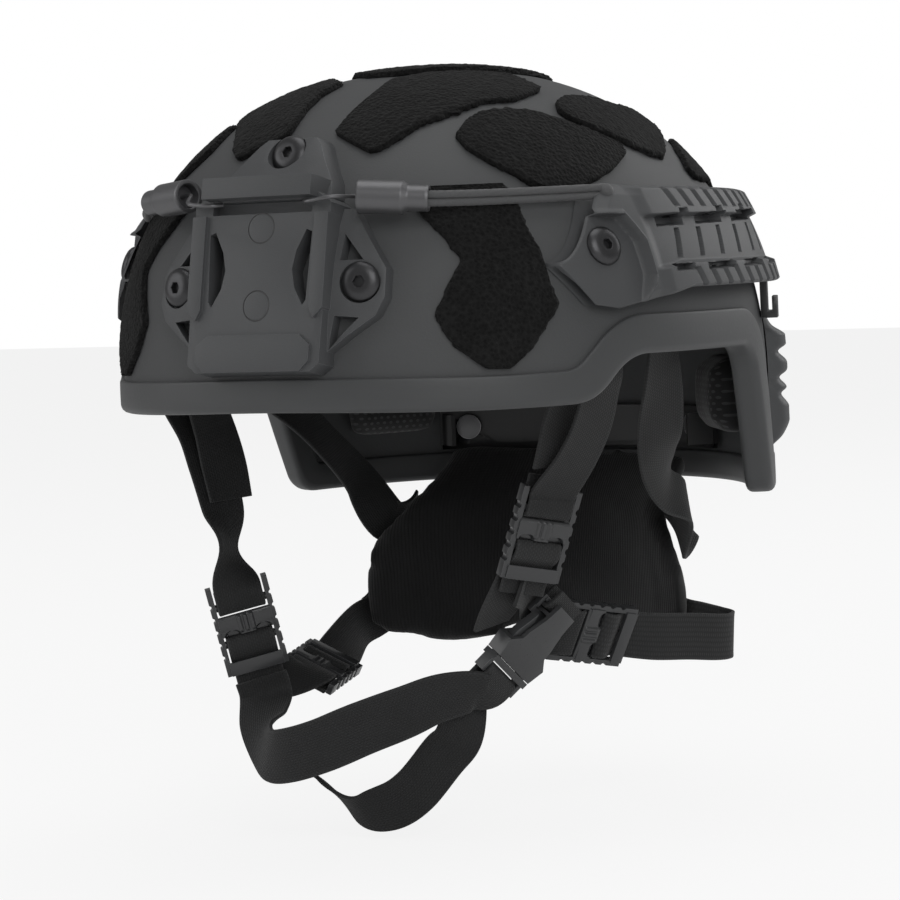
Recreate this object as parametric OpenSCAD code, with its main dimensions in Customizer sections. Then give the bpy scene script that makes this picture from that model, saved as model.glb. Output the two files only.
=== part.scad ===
// Combat helmet: composite shell with loop panels, front mounting shroud, side rails,
// elastic lanyards, liner pads, webbing harness, nape pad and side-release chin strap.
// Millimetres, +Z up. The helmet faces -Y and the wearer's left side is +X.
// The origin is the centre of the head opening, level with the front rim.

/* [Shell] */
// Outside length over the loop panels
helmet_l = 283; // [276:1:290]
// Outside width over the loop panels
helmet_w = 253; // [247:1:259]
// Height of the crown above the front rim
crown_h = 133; // [129:1:137]
// Thickness of the composite shell wall
shell_wall = 8; // [7:0.5:9]
// How far the rear rim lies below the front rim
rear_drop = 50; // [47:1:53]
// How far the rim sinks from the front to the ear cut
rim_dip = 2; // [1:0.5:3]
// How far the ear cut rises above the front rim
ear_rise = 15; // [12:1:17]
// Front end of the ear cut, in front of the helmet's middle
ear_front = 78; // [75:1:81]
// Rear end of the ear cut, behind the helmet's middle
ear_rear = 33; // [31:1:35]

/* [Edge trim] */
// Thickness of the trim beside the shell wall
trim_t = 1.8; // [1.4:0.1:2.2]
// Thickness of the trim below the shell's edge
trim_sole = 3; // [2.5:0.1:3.5]
// Height of the trim's outer band over the ear and the back
trim_band = 15.5; // [14:0.5:17]
// Height of the trim's outer band at the front
trim_band_front = 13; // [12:0.5:14]

/* [Loop panels] */
// Thickness of the loop panels with their pile
panel_t = 2.4; // [1.8:0.1:2.8]

/* [Shroud] */
// Lean of the front plate from upright
shroud_lean = 12.4; // [11:0.1:14]
// Width of the shroud's inner plate between its raised bars
shroud_w = 49; // [46:1:52]
// Width over the side wings
shroud_span = 101; // [97:1:105]
// Height of the side screws above the rim
side_screw_z = 48; // [46:0.5:50]
// Distance of the side screws from the middle
side_screw_x = 40; // [39:0.5:42]
// Height of the top screw above the rim
top_screw_z = 95; // [94:0.5:97]
// Plate thickness
shroud_t = 4; // [3.5:0.1:4.5]

/* [Rails] */
// Thickness of the side rails over the shell
rail_t = 10; // [8.5:0.5:11]
// Height of the rail's upper edge above the rim
rail_top = 79; // [77:0.5:81]
// Height of the rail's lower edge above the rim
rail_low = 37; // [36:0.5:39]
// Rear end of the rail behind the middle
rail_rear = 78; // [74:1:82]
// Number of ribs in each ribbed band
rail_ribs = 9; // [7:1:10]

/* [Fasteners] */
// Diameter of the screw heads
head_d = 15.5; // [14:0.5:17]
// Thread diameter
screw_d = 5; // [4:0.5:6]
// Clearance radius between a screw and its hole
fit_gap = 0.05; // [0.02:0.01:0.08]

/* [Lanyards] */
// Diameter of the ferrule
ferrule_d = 13; // [11:0.5:14]
// Diameter of one elastic strand
bungee_d = 3; // [2:0.1:3.4]
// Thickness of the hook wire
hook_d = 1.6; // [1.2:0.1:2]
// How far the hook can be pulled forward
lanyard_travel = 9; // [7:1:10]

/* [Webbing] */
// Width of the harness webbing
web_w = 20; // [18:0.5:22]
// Thickness of the webbing
web_t = 1.6; // [1.2:0.1:2]
// Width of the chin webbing
chin_w = 22; // [20:0.5:25]

/* [Adjusters] */
// Length of a ladder-lock adjuster
lock_l = 38; // [36:0.5:40]
// Thickness of its side rails
lock_t = 4.4; // [3.8:0.1:5]
// Radius of its round bars
bar_r = 1.6; // [1.3:0.1:1.8]
// Largest tilt of an adjuster
lock_tilt = 35; // [20:1:40]

/* [Buckle] */
// Width of the buckle body
buckle_w = 30; // [27:0.5:32]
// Thickness of the buckle body
buckle_t = 8; // [7.5:0.5:9]
// Pull-out travel of the plug
buckle_travel = 24; // [20:1:26]

/* [Liner] */
// Thickness of the liner pads
pad_t = 17; // [14:0.5:19]
// Half width of the nape pad
nape_w = 78; // [74:1:82]
// Thickness of the nape pad
nape_t = 12; // [10:0.5:14]

/* [Hidden] */

// Shape of the dome: a plan power, and an upright power that falls from front to back
plan_p = 2.26;
arch_front = 2.39;
arch_rear = 2.145;
a_len = helmet_l / 2;
b_wid = helmet_w / 2;
// Depths are measured from the face of the loop panels, positive outwards
shell_d = -2.5;
wall_d = shell_d - shell_wall;
trim_out_d = shell_d + trim_t;
trim_in_d = wall_d - trim_t;
soft_gap = 0.35;
seat_gap = 0.5;
// Room for the flats of the shell's inner wall
flat_gap = 0.4;
strap_d = trim_in_d - soft_gap - flat_gap - web_t / 2;
pad_d = wall_d - soft_gap - flat_gap - 0.3;
screw_r = screw_d / 2;

// Shares by which the typed places follow the overall size
kx = helmet_w / 253;
ky = helmet_l / 283;
kz = crown_h / 133;
function fit(p) = [p[0] * kx, p[1] * ky, p[2]];
function fitted(path) = [for (c = path) [fit(c[0]), c[1]]];

function mix(a, b, t) = a + (b - a) * t;
function unit(v) = v / norm(v);
function smooth(t) = let(c = max(0, min(1, t))) c * c * (3 - 2 * c);
function arch(s) = arch_rear + (arch_front - arch_rear) * (1 - s) / 2;
function plan_r(th) = pow(pow(abs(cos(th)), plan_p) + pow(abs(sin(th)), plan_p), -1 / plan_p);
function shrink(z, d, q) = z > 0 ? pow(max(0, 1 - pow(z / (crown_h + d), q)), 1 / q) : 1;
// Point of the dome at plan angle th and height z
function surf(th, z, d) =
    let(k = shrink(z, d, arch(sin(th))), r = plan_r(th))
    [(b_wid + d) * k * cos(th) * r, (a_len + d) * k * sin(th) * r, z];
// Point of the dome at plan angle th and rise angle ph
function dome(th, ph, d) =
    let(q = arch(sin(th)), r = pow(pow(cos(ph), q) + pow(abs(sin(ph)), q), -1 / q), g = plan_r(th))
    ph < 0
        ? [(b_wid + d) * cos(th) * g, (a_len + d) * sin(th) * g, (crown_h + d) * sin(ph)]
        : [(b_wid + d) * cos(ph) * r * cos(th) * g, (a_len + d) * cos(ph) * r * sin(th) * g,
           (crown_h + d) * sin(ph) * r];
// Plan angle of the near side point with a given y and z
function side_th(y, z, d) =
    let(k = shrink(z, d, arch(y / (a_len + d))),
        x = pow(max(0, pow(k, plan_p) - pow(abs(y) / (a_len + d), plan_p)), 1 / plan_p))
    atan2(y / (a_len + d), x);
// Point of the side whose place was measured on the photographed size
function side(y, z, d) = surf(side_th(y * ky, z * kz, d), z * kz, d);
// Point of the crown above a given x and y
function top(x, y, d) =
    let(u = x / (b_wid + d), v = y / (a_len + d), q = arch(v / max(norm([u, v]), 0.001)),
        k = pow(pow(abs(u), plan_p) + pow(abs(v), plan_p), 1 / plan_p))
    [x, y, (crown_h + d) * pow(1 - pow(k, q), 1 / q)];
function surf_normal(th, z, d) =
    unit(cross(surf(th + 0.5, z, d) - surf(th - 0.5, z, d), surf(th, z + 0.5, d) - surf(th, z - 0.5, d)));
function side_normal(y, z) = surf_normal(side_th(y * ky, z * kz, shell_d), z * kz, shell_d);

// Faces of a grid of n by m points that starts at point s; flip turns it inside out
function grid_faces(n, m, s, flip) = [
    for (i = [0 : n - 2]) for (j = [0 : m - 2])
        let(a = s + i * m + j, b = a + 1, c = a + m + 1, e = a + m)
        each flip ? [[a, c, b], [a, e, c]] : [[a, b, c], [a, c, e]]
];
// Faces of a band between two lists of point numbers
function band_faces(p, q) = [
    for (i = [0 : len(p) - 2]) each [[p[i], q[i], q[i + 1]], [p[i], q[i + 1], p[i + 1]]]
];
// Closed solid between a front grid and a back grid of the same counts
module slab(front, back) {
    n = len(front);
    m = len(front[0]);
    s = n * m;
    points = concat([for (row = front) each row], [for (row = back) each row]);
    rim_a = [for (j = [0 : m - 1]) j];
    rim_b = [for (j = [0 : m - 1]) (n - 1) * m + j];
    rim_c = [for (i = [0 : n - 1]) i * m];
    rim_d = [for (i = [0 : n - 1]) i * m + m - 1];
    faces = concat(
        grid_faces(n, m, 0, false),
        grid_faces(n, m, s, true),
        band_faces(rim_a, [for (v = rim_a) v + s]),
        band_faces([for (v = rim_b) v + s], rim_b),
        band_faces([for (v = rim_c) v + s], rim_c),
        band_faces(rim_d, [for (v = rim_d) v + s])
    );
    polyhedron(points, faces);
}
// Closed solid through rings that run anticlockwise, looked at against the way they are joined
module loft(rings, closed) {
    n = len(rings);
    m = len(rings[0]);
    points = [for (ring = rings) each ring];
    walls = [
        for (i = [0 : n - (closed ? 1 : 2)]) for (j = [0 : m - 1])
            let(a = i * m + j, b = i * m + (j + 1) % m,
                e = ((i + 1) % n) * m + j, c = ((i + 1) % n) * m + (j + 1) % m)
            each [[a, e, c], [a, c, b]]
    ];
    ends = closed ? [] : concat(
        [for (j = [1 : m - 2]) [0, j, j + 1]],
        [for (j = [1 : m - 2]) [(n - 1) * m, (n - 1) * m + j + 1, (n - 1) * m + j]]
    );
    polyhedron(points, concat(walls, ends));
}
// Moves +Z of its children on to the direction n at point p
module along(p, n) {
    translate(p) rotate([0, acos(n[2]), atan2(n[1], n[0])]) children();
}
// Moves the X, Y and Z axes of its children on to three square unit directions
module onto(p, x, y, z) {
    multmatrix([
        [x[0], y[0], z[0], p[0]],
        [x[1], y[1], z[1], p[1]],
        [x[2], y[2], z[2], p[2]],
        [0, 0, 0, 1]
    ]) children();
}
module both_sides() {
    children();
    mirror([1, 0, 0]) children();
}

// The rim line in y and z: straight stretches with rounded corners
rim_n = 4;
function arc_corner(a, b, c, r) =
    let(u = unit(a - b), v = unit(c - b), half = acos(u * v) / 2, mid = unit(u + v),
        centre = b + mid * r / sin(half), p = b + u * r / tan(half), q = b + v * r / tan(half),
        g0 = atan2(p[1] - centre[1], p[0] - centre[0]), g1 = atan2(q[1] - centre[1], q[0] - centre[0]),
        turn = g1 - g0 > 180 ? g1 - g0 - 360 : g1 - g0 < -180 ? g1 - g0 + 360 : g1 - g0)
    [for (i = [0 : rim_n]) centre + r * [cos(g0 + turn * i / rim_n), sin(g0 + turn * i / rim_n)]];
// Corner of the line through two corners, each moved sideways by its own width
function moved_corner(a, b, c, w1, w2) =
    let(u = unit(b - a), v = unit(c - b), n1 = [-u[1], u[0]], n2 = [-v[1], v[0]],
        p = a + n1 * w1, q = c + n2 * w2, s = ((q - p) * n2) / (u * n2))
    p + u * s;
ear_front_top = ear_front - 18;
rim_corners = [
    [-ear_front - 25, -rim_dip], [-ear_front, -rim_dip], [-ear_front_top, ear_rise],
    [ear_rear, ear_rise - 2.5], [ear_rear + 22, -rear_drop], [ear_rear + 60, -rear_drop]
];
rim_round = [20, 24, 16, 11];
function rim_line(w_front, w_rest, radii) =
    let(w = [w_front, mix(w_front, w_rest, 0.5), w_rest, w_rest, w_rest],
        k = [for (i = [1 : 4]) moved_corner(rim_corners[i - 1], rim_corners[i], rim_corners[i + 1],
                                            w[i - 1], w[i])],
        s = [[rim_corners[0][0], w_front - rim_dip], k[0], k[1], k[2], k[3], [rim_corners[5][0], w_rest - rear_drop]])
    [for (i = [1 : 4]) each arc_corner(s[i - 1], s[i], s[i + 1], radii[i - 1])];
rim_low = rim_line(0, 0, rim_round);
rim_shell = rim_line(trim_sole, trim_sole, [18, 26, 18, 9]);
rim_band = rim_line(trim_band_front, trim_band, [10, 34, 28, 1.5]);
// The whole rim of one side as plan angle and height, from the front middle to the back middle
front_th = [for (i = [0 : 8]) -90 + i * 5.6];
back_th = [for (i = [0 : 8]) 41 + i * 6.125];
function rim_path(line, z_front, z_back, d) = concat(
    [for (t = front_th) [t, z_front - rim_dip * smooth((t + 90) / 50)]],
    [for (p = line) [side_th(p[0], p[1], d), p[1]]],
    [for (t = back_th) [t, z_back]]
);
path_low = rim_path(rim_low, 0, -rear_drop, shell_d);
path_shell = rim_path(rim_shell, trim_sole, trim_sole - rear_drop, shell_d);
path_band = rim_path(rim_band, trim_band_front, trim_band - rear_drop, shell_d);
// Adds points where the shell's own columns lie more than 7 degrees apart
steps = [for (i = [0 : len(path_shell) - 2]) ceil((path_shell[i + 1][0] - path_shell[i][0]) / 7)];
function dense(path) = concat(
    [for (i = [0 : len(path) - 2]) for (k = [0 : steps[i] - 1]) mix(path[i], path[i + 1], k / steps[i])],
    [path[len(path) - 1]]);
// Adds the other side of the helmet to a path
function whole(path) =
    let(c = dense(path), n = len(c))
    concat(c, [for (i = [1 : n - 2]) [180 - c[n - 1 - i][0], c[n - 1 - i][1]]]);

shell_rows = 16;
function rise_angle(th, z, d) =
    z > 0 ? atan2(z / (crown_h + d), shrink(z, d, arch(sin(th)))) : asin(z / (crown_h + d));
module shell_solid() {
    path = whole(path_shell);
    n = len(path);
    outer = [for (i = [0 : shell_rows - 1]) for (p = path)
        let(low = rise_angle(p[0], p[1], shell_d)) dome(p[0], mix(low, 90, i / shell_rows), shell_d)];
    inner = [for (i = [0 : shell_rows - 1]) for (p = path)
        let(low = rise_angle(p[0], p[1], wall_d)) dome(p[0], mix(low, 90, i / shell_rows), wall_d)];
    s = shell_rows * n;
    points = concat(outer, inner, [[0, 0, crown_h + shell_d], [0, 0, crown_h + wall_d]]);
    faces = concat(
        [for (i = [0 : shell_rows - 2]) for (j = [0 : n - 1])
            let(a = i * n + j, b = i * n + (j + 1) % n, c = b + n, e = a + n)
            each [[a, e, c], [a, c, b], [s + a, s + c, s + e], [s + a, s + b, s + c]]],
        [for (j = [0 : n - 1]) let(k = (shell_rows - 1) * n, a = k + j, b = k + (j + 1) % n)
            each [[a, 2 * s, b], [s + a, s + b, 2 * s + 1]]],
        [for (j = [0 : n - 1]) let(b = (j + 1) % n) each [[j, b, s + b], [j, s + b, s + j]]]
    );
    polyhedron(points, faces);
}

// Places of the screws through the shell: y and z on the near side
rail_screw = [-66, 55];
harness_bolt = [-8, 53];
module at_side(place) {
    along(side(place[0], place[1], shell_d), side_normal(place[0], place[1])) children();
}
function front_x_th(x, z) =
    let(k = shrink(z, shell_d, arch(-1)),
        y = pow(max(0, pow(k, plan_p) - pow(abs(x) / (b_wid + shell_d), plan_p)), 1 / plan_p))
    atan2(-y, x / (b_wid + shell_d));
side_screw_p = surf(front_x_th(side_screw_x, side_screw_z), side_screw_z, shell_d);
top_screw_p = surf(-90, top_screw_z, shell_d);
// Direction of the shroud's screws: the side ones turn out, the top one leans back
side_screw_n = unit([0.22, -1, 0.1]);
top_screw_n = unit([0, -1, 0.42]);
module at_shroud_screws() {
    both_sides() along(side_screw_p, side_screw_n) children();
    along(top_screw_p, top_screw_n) children();
}
bore_r = screw_r + 1.6;

module shell() {
    color("dimgray") difference() {
        shell_solid();
        both_sides() {
            at_side(rail_screw) cylinder(h = 60, r = bore_r + fit_gap, center = true, $fn = 32);
            at_side(harness_bolt) cylinder(h = 60, r = bore_r + fit_gap, center = true, $fn = 32);
            at_side(harness_bolt) translate([0, 0, -sunk]) cylinder(h = 20, r = 6.2, $fn = 40);
        }
        at_shroud_screws() cylinder(h = 60, r = bore_r + fit_gap, center = true, $fn = 32);
        // Spot faces on the inner wall for the flanges of the posts
        at_shroud_screws() translate([0, 0, -shell_wall - 10]) cylinder(h = 9.7, r = 7.2, $fn = 40);
        both_sides() for (place = [rail_screw, harness_bolt])
            at_side(place) translate([0, 0, -shell_wall - 6]) cylinder(h = 5.9, r = 7.2, $fn = 40);
    }
}

// U channel: each ring is taken round the edge, from the outer lip to the inner lip
module edge_trim() {
    low = whole(path_low);
    mid = whole(path_shell);
    band = whole(path_band);
    out = shell_d + 0.75;
    in = wall_d - 1.25;
    rings = [for (i = [0 : len(low) - 1])
        let(l = low[i], m = mid[i], b = band[i], e = m + (l - m) * 0.16)
        [
            surf(b[0], b[1], out), surf(b[0], b[1], mix(out, trim_out_d, 0.6)),
            surf(mix(m[0], b[0], 0.93), mix(m[1], b[1], 0.93), trim_out_d),
            surf(m[0], m[1], trim_out_d),
            surf(mix(m[0], l[0], 0.75), mix(m[1], l[1], 0.75), trim_out_d - 0.7),
            surf(l[0], l[1], trim_out_d - 2.6),
            surf(l[0], l[1], trim_in_d + 2.6),
            surf(mix(m[0], l[0], 0.75), mix(m[1], l[1], 0.75), trim_in_d + 0.7),
            surf(mix(m[0], b[0], 0.7), mix(m[1], b[1], 0.7), trim_in_d),
            surf(mix(m[0], b[0], 0.75), mix(m[1], b[1], 0.75), in),
            surf(e[0], e[1], in),
            surf(e[0], e[1], out)
        ]];
    color("dimgray") loft(rings, true);
}

// A loop panel: two chains of plan angle and rise angle, joined across by straight rows
module panel(a, b, across) {
    face_d = shell_d + seat_gap;
    function row(i, d) = [for (j = [0 : across])
        let(p = mix(b[i], a[i], j / across)) dome(p[0], p[1], d)];
    color([0.09, 0.09, 0.09])
        slab([for (i = [0 : len(a) - 1]) row(i, shell_d + panel_t)], [for (i = [0 : len(a) - 1]) row(i, face_d)]);
}
module loop_front() {
    panel([[-45, 36.5], [-43.5, 35], [-42.5, 32], [-42, 29], [-40, 24], [-38.2, 15.4], [-43, 9], [-47, 5.8]],
          [[-62, 36.5], [-63, 35], [-60, 31], [-57, 28], [-54, 24], [-59, 15], [-56, 10], [-51, 6]], 4);
}
module loop_top() {
    panel([[-83, 49], [-82.5, 51], [-82, 53], [-78, 62], [-76, 68], [-61, 71], [-46, 72], [-34, 71], [-20, 69]],
          [[-72, 44], [-70, 44.5], [-67, 46], [-61, 50], [-55, 52], [-49, 54], [-44, 56], [-34, 56.5], [-17, 61]], 5);
}
module loop_side() {
    panel([[-53, 47], [-50, 50.5], [-46, 53], [-38, 54], [-30, 53], [-22, 49.5], [-14, 46], [-10, 43.8]],
          [[-51, 44], [-47, 41], [-42, 38], [-38, 35.4], [-33, 33.6], [-26, 36], [-18, 38.6], [-10.5, 41.8]], 4);
}
module loop_rear_top() {
    panel([[-22, 53], [-19, 56], [-12, 58], [-4, 58.4], [4, 58], [12, 56], [20, 55], [28, 54]],
          [[-21, 51], [-18, 49.5], [-13, 47], [-6, 44], [-1, 42], [5, 40.8], [14, 44.5], [25, 49]], 4);
}
module loop_quarter() {
    panel([[14, 38.5], [20, 43], [27, 45.5], [35, 46], [43, 44], [50, 40], [54, 36]],
          [[15, 36.5], [21, 36], [28, 36], [35, 35], [42, 33], [48, 31], [53, 33]], 3);
}
module loop_back() {
    panel([[72, 37], [77, 40.5], [83, 42], [90, 42.5], [97, 42], [103, 40.5], [108, 37]],
          [[76, 18], [80, 14.5], [85, 13], [90, 12.5], [95, 13], [100, 14.5], [104, 18]], 4);
}
crown_half = [[-42, 7], [-35, 15], [-25, 24], [-12, 33], [-2, 36], [8, 38], [21, 38], [34, 36], [43, 32],
    [52, 26], [59, 18], [66, 9]];
module loop_crown() {
    face_d = shell_d + seat_gap;
    function row(c, d) = [for (j = [-3 : 3]) top(c[1] * j / 3, c[0], d)];
    color([0.09, 0.09, 0.09])
        slab([for (c = crown_half) row(c, face_d)], [for (c = crown_half) row(c, shell_d + panel_t)]);
}

// Block behind the front of the dome, with the shell's own facets, its face at depth d
module front_block(d) {
    cols = [for (k = [-8 : 8]) -90 + k * 5.6];
    front = [for (t = cols)
        let(low = rise_angle(t, trim_sole, shell_d))
        [for (i = [0 : 11]) dome(t, mix(low, 90, i / shell_rows), d)]];
    slab(front, [for (row = front) [for (p = row) [p[0] * 0.8, -20, p[2]]]]);
}

// The shroud is drawn upright in x and z with its front face at y = 0, then leant back
plate_y = surf(-90, 40, shell_d)[1] - 8;
module lean() {
    translate([0, plate_y, 40]) rotate([-shroud_lean, 0, 0]) translate([0, 0, -40]) children();
}
function leant(p) = [p[0],
    plate_y + p[1] * cos(shroud_lean) + (p[2] - 40) * sin(shroud_lean),
    40 + (p[2] - 40) * cos(shroud_lean) - p[1] * sin(shroud_lean)];
// Upright slice: an outline in x and z, from depth y0 to depth y1 behind the front face
module slice(y0, y1, outline) {
    translate([0, y1, 0]) rotate([90, 0, 0]) linear_extrude(y1 - y0) polygon(outline);
}
function mirrored(half) = concat(half, [for (i = [1 : len(half) - 2])
    let(p = half[len(half) - 1 - i]) [-p[0], p[1]]]);
wing_x = shroud_span / 2;
in_x = shroud_w / 2;
bar_x = in_x + 6;
shelf_z = 82;
shelf_h = 8;
// Outlines of one half, from the bottom middle round to the top middle
wing_half = [[0, 20], [in_x, 20], [wing_x - 3, 38], [wing_x, 45], [wing_x - 0.5, 56], [bar_x + 4, 79], [0, 79]];
plate_half = [[0, 16], [in_x + 1, 16], [bar_x - 1, 19], [bar_x, 80], [in_x, shelf_z + 2], [0, shelf_z + 2]];
block_half = [[0, shelf_z + 1], [in_x + 2, shelf_z + 1], [in_x, shelf_z + shelf_h], [14, 106], [11, 109], [0, 109]];
module front_shroud() {
    color([0.27, 0.27, 0.28]) difference() {
        union() {
            intersection() {
                lean() slice(-8, 60, mirrored(wing_half));
                front_block(shell_d + shroud_t + 1);
            }
            intersection() {
                lean() slice(-8, 60, mirrored(block_half));
                front_block(shell_d + shroud_t + 4.5);
            }
            lean() {
                slice(1.2, 22, mirrored(plate_half));
                slice(0, 8, mirrored([[0, 16], [in_x - 3, 16], [in_x + 1, 20], [in_x + 1, 26], [in_x - 4, 30], [0, 30]]));
                both_sides() slice(-0.4, 8, [[bar_x - 4, 36], [bar_x, 40], [bar_x, 76], [in_x, 76], [in_x, 40]]);
                slice(-4.5, 26, mirrored([[0, shelf_z], [in_x, shelf_z], [in_x, shelf_z + shelf_h], [0, shelf_z + shelf_h]]));
            }
        }
        front_block(shell_d + 0.12);
        lean() {
            // Slot for the lanyard wires, under the shelf
            translate([-in_x + 2, -6, shelf_z - 5.5]) cube([2 * in_x - 4, 11.5, 5]);
            // Two lens windows in the inner plate
            both_sides() slice(-4, 60, [[in_x - 4, 41], [in_x - 2.5, 43], [in_x - 1.5, 69], [in_x - 4, 70],
                                        [in_x - 8, 62], [in_x - 9.5, 55], [in_x - 8, 48]]);
            // Corner windows in the wings
            both_sides() slice(-8, 60, [[bar_x + 2.5, 69], [bar_x + 11, 59], [bar_x + 2, 58.5]]);
            both_sides() slice(-8, 60, [[bar_x - 0.5, 24.5], [bar_x + 11, 37], [bar_x + 1.5, 37.5]]);
        }
        // Seats of the three screw heads
        both_sides() along(side_screw_p, side_screw_n) {
            cylinder(h = 80, r = bore_r + fit_gap, center = true, $fn = 32);
            translate([0, 0, side_seat]) cylinder(h = 30, r = head_d / 2 + 0.3, $fn = 48);
        }
        along(top_screw_p, top_screw_n) {
            cylinder(h = 80, r = bore_r + fit_gap, center = true, $fn = 32);
            translate([0, 0, top_seat]) cylinder(h = 30, r = head_d / 2 + 0.3, $fn = 48);
        }
    }
}
side_seat = 4;
top_seat = 6;
rail_seat = 5.5;
wash = trim_t - 0.2 + flat_gap;
layer_gap = 0.4;
function post_len(layers) = shell_wall + wash + 0.2 + 2 * soft_gap + layers * web_t + (layers - 1) * layer_gap + 1.9;

// Button-head socket screw: head on z = 0, shank downwards
module screw(grip) {
    socket_r = 2.3;
    difference() {
        union() {
            cylinder(h = 1.4, r = head_d / 2, $fn = 48);
            translate([0, 0, 1.4]) cylinder(h = 1.8, r1 = head_d / 2 - 0.2, r2 = head_d / 2 - 3, $fn = 48);
            translate([0, 0, -grip]) cylinder(h = grip, r = screw_r, $fn = 32);
        }
        translate([0, 0, 1]) cylinder(h = 4, r = socket_r, $fn = 6);
    }
}
// Threaded post: a flange on the inner wall, a barrel through shell and straps, and a cap
module post(layers, top_z) {
    long = post_len(layers);
    difference() {
        union() {
            translate([0, 0, -shell_wall - wash - 0.2]) cylinder(h = wash, r = 7, $fn = 40);
            translate([0, 0, -long]) cylinder(h = long + top_z, r = bore_r, $fn = 40);
            translate([0, 0, -long]) cylinder(h = 1.2, r = 7, $fn = 40);
        }
        translate([0, 0, -long - 1]) cylinder(h = long + 20, r = screw_r + fit_gap, $fn = 32);
    }
}
module shroud_screws() {
    color([0.3, 0.3, 0.31]) {
        both_sides() along(side_screw_p, side_screw_n) translate([0, 0, side_seat]) screw(side_seat + shell_wall + 2);
        along(top_screw_p, top_screw_n) translate([0, 0, top_seat]) screw(top_seat + shell_wall + 2);
    }
}
module shroud_posts() {
    color("gray") at_shroud_screws() difference() {
        union() {
            translate([0, 0, -shell_wall - 2.4]) cylinder(h = 1.8, r = 7, $fn = 40);
            translate([0, 0, -shell_wall - 2.4]) cylinder(h = shell_wall + 2, r = bore_r, $fn = 40);
        }
        translate([0, 0, -shell_wall - 4]) cylinder(h = 30, r = screw_r + fit_gap, $fn = 32);
    }
}

// Side rail: columns along y, each from the lower edge to the upper edge
rail_tip = 88;
rail_cols = [-rail_tip, -82, -76, -70, -62, -54, -46, -38, -26, -8, 10, 28, 46, 62, rail_rear];
function rail_hi(y) = y < -58 ? mix(51.5, rail_top + 2, smooth((y + rail_tip) / (rail_tip - 58) * 0.82 + 0.02) * 1.05)
    : y < -40 ? rail_top + 2 - (y + 58) * 0.11 : mix(rail_top, rail_top - 4, (y + 40) / (rail_rear + 40));
function rail_lo(y) = y < -78 ? mix(50.5, rail_low - 2, (y + rail_tip) / (rail_tip - 78))
    : y < -68 ? rail_low - 2 - (y + 78) * 0.2 : y < -30 ? mix(rail_low - 4, rail_low + 2, (y + 68) / 38)
    : mix(rail_low + 2, rail_low, (y + 30) / (rail_rear + 30));
rail_seat_d = shell_d + seat_gap;
// Share of the height and share of the thickness along the rail's section
rail_section = [[0, 0.55], [0.035, 1], [0.235, 1], [0.27, 0.72], [0.70, 0.72], [0.735, 1], [0.965, 1], [1, 0.55]];
rail_plain = [[0, 0.55], [0.035, 0.85], [0.235, 0.85], [0.27, 0.85], [0.70, 0.85], [0.735, 0.85], [0.965, 0.85], [1, 0.55]];
module rail() {
    function column(y, d_share) =
        let(s = y < -50 ? rail_plain : rail_section, f = y <= -rail_tip + 1 ? 0.6 : y >= rail_rear - 1 ? 0.7 : 1)
        [for (p = s) side(y, mix(rail_lo(y), rail_hi(y), p[0]), rail_seat_d + d_share * f * p[1] * rail_t)];
    color([0.29, 0.29, 0.3]) difference() {
        slab([for (y = rail_cols) column(y, 1)], [for (y = rail_cols) column(y, 0)]);
        // Screw, its hexagonal recess and the seat of its head
        at_side(rail_screw) {
            cylinder(h = 40, r = bore_r + fit_gap, center = true, $fn = 32);
            translate([0, 0, rail_seat]) linear_extrude(20)
                polygon([[-19, -3], [-9, 13.5], [4, 12], [11.5, 3], [11.5, -10], [5, -30], [-14, -24]]);
        }
        // Upper windows, upright slits and lower notches through the middle band
        for (c = [[-29.5, 18], [2, 24], [40, 28]]) rail_cut(c[0], 65.5, c[1], 3.6);
        for (y = [-27, -11, 7, 27, 50]) rail_cut(y, 56, 2.6, 11.5);
        for (c = [[-35, 6], [-6, 24], [23, 14]]) rail_cut(c[0], 46.8, c[1], 2.2);
        // Grooves between the ribs
        for (i = [0 : rail_ribs - 1]) {
            rail_groove(-26 + i * 84 / rail_ribs, rail_top - 5.5, 7.5);
            rail_groove(-22 + i * 84 / rail_ribs, rail_low + 5, 6.5);
        }
        // Hole that holds the lanyard's knot
        along(anchor_p, bungee_dir) translate([0, 0, -24]) cylinder(h = 28, r = bungee_hole_r, $fn = 24);
        // Notch and pivot hole of the rear clip
        translate(clip_p - [clip_out + 6.5, clip_w / 2 + 1.6, 9]) cube([26, clip_w + 3.2, 14]);
        clip_axis() cylinder(h = clip_w + 16, r = pin_r + fit_gap, center = true, $fn = 24);
    }
}
bungee_hole_r = bungee_d + 0.5;
module rail_cut(y, z, along_y, high) {
    at_side([y, z]) translate([-high / 2, -along_y / 2, 3.6]) cube([high, along_y, 20]);
}
module rail_groove(y, z, high) {
    at_side([y, z]) translate([0, 0, rail_t - 1.2]) rotate([0, 0, 16])
        translate([-high / 2, -1.3, 0]) cube([high, 2.6, 10]);
}
module rail_screws() {
    color([0.3, 0.3, 0.31]) both_sides() at_side(rail_screw)
        translate([0, 0, rail_seat]) screw(rail_seat + post_len(2) - 1);
}
// Posts for the screws of both strap anchors
module strap_posts() {
    color("gray") both_sides() {
        at_side(rail_screw) post(2, -0.2);
        at_side(harness_bolt) post(1, -sunk);
    }
}
// Flush bolts under the rail that hold the rear straps
sunk = 2.4;
module harness_bolts() {
    color([0.3, 0.3, 0.31]) both_sides() at_side(harness_bolt) difference() {
        union() {
            translate([0, 0, -sunk + 0.1]) cylinder(h = sunk - 0.4, r = 6, $fn = 40);
            translate([0, 0, -post_len(1) + 1]) cylinder(h = post_len(1) - 3, r = screw_r, $fn = 32);
        }
        translate([0, 0, -1.5]) cylinder(h = 4, r = 2, $fn = 6);
    }
}

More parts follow.
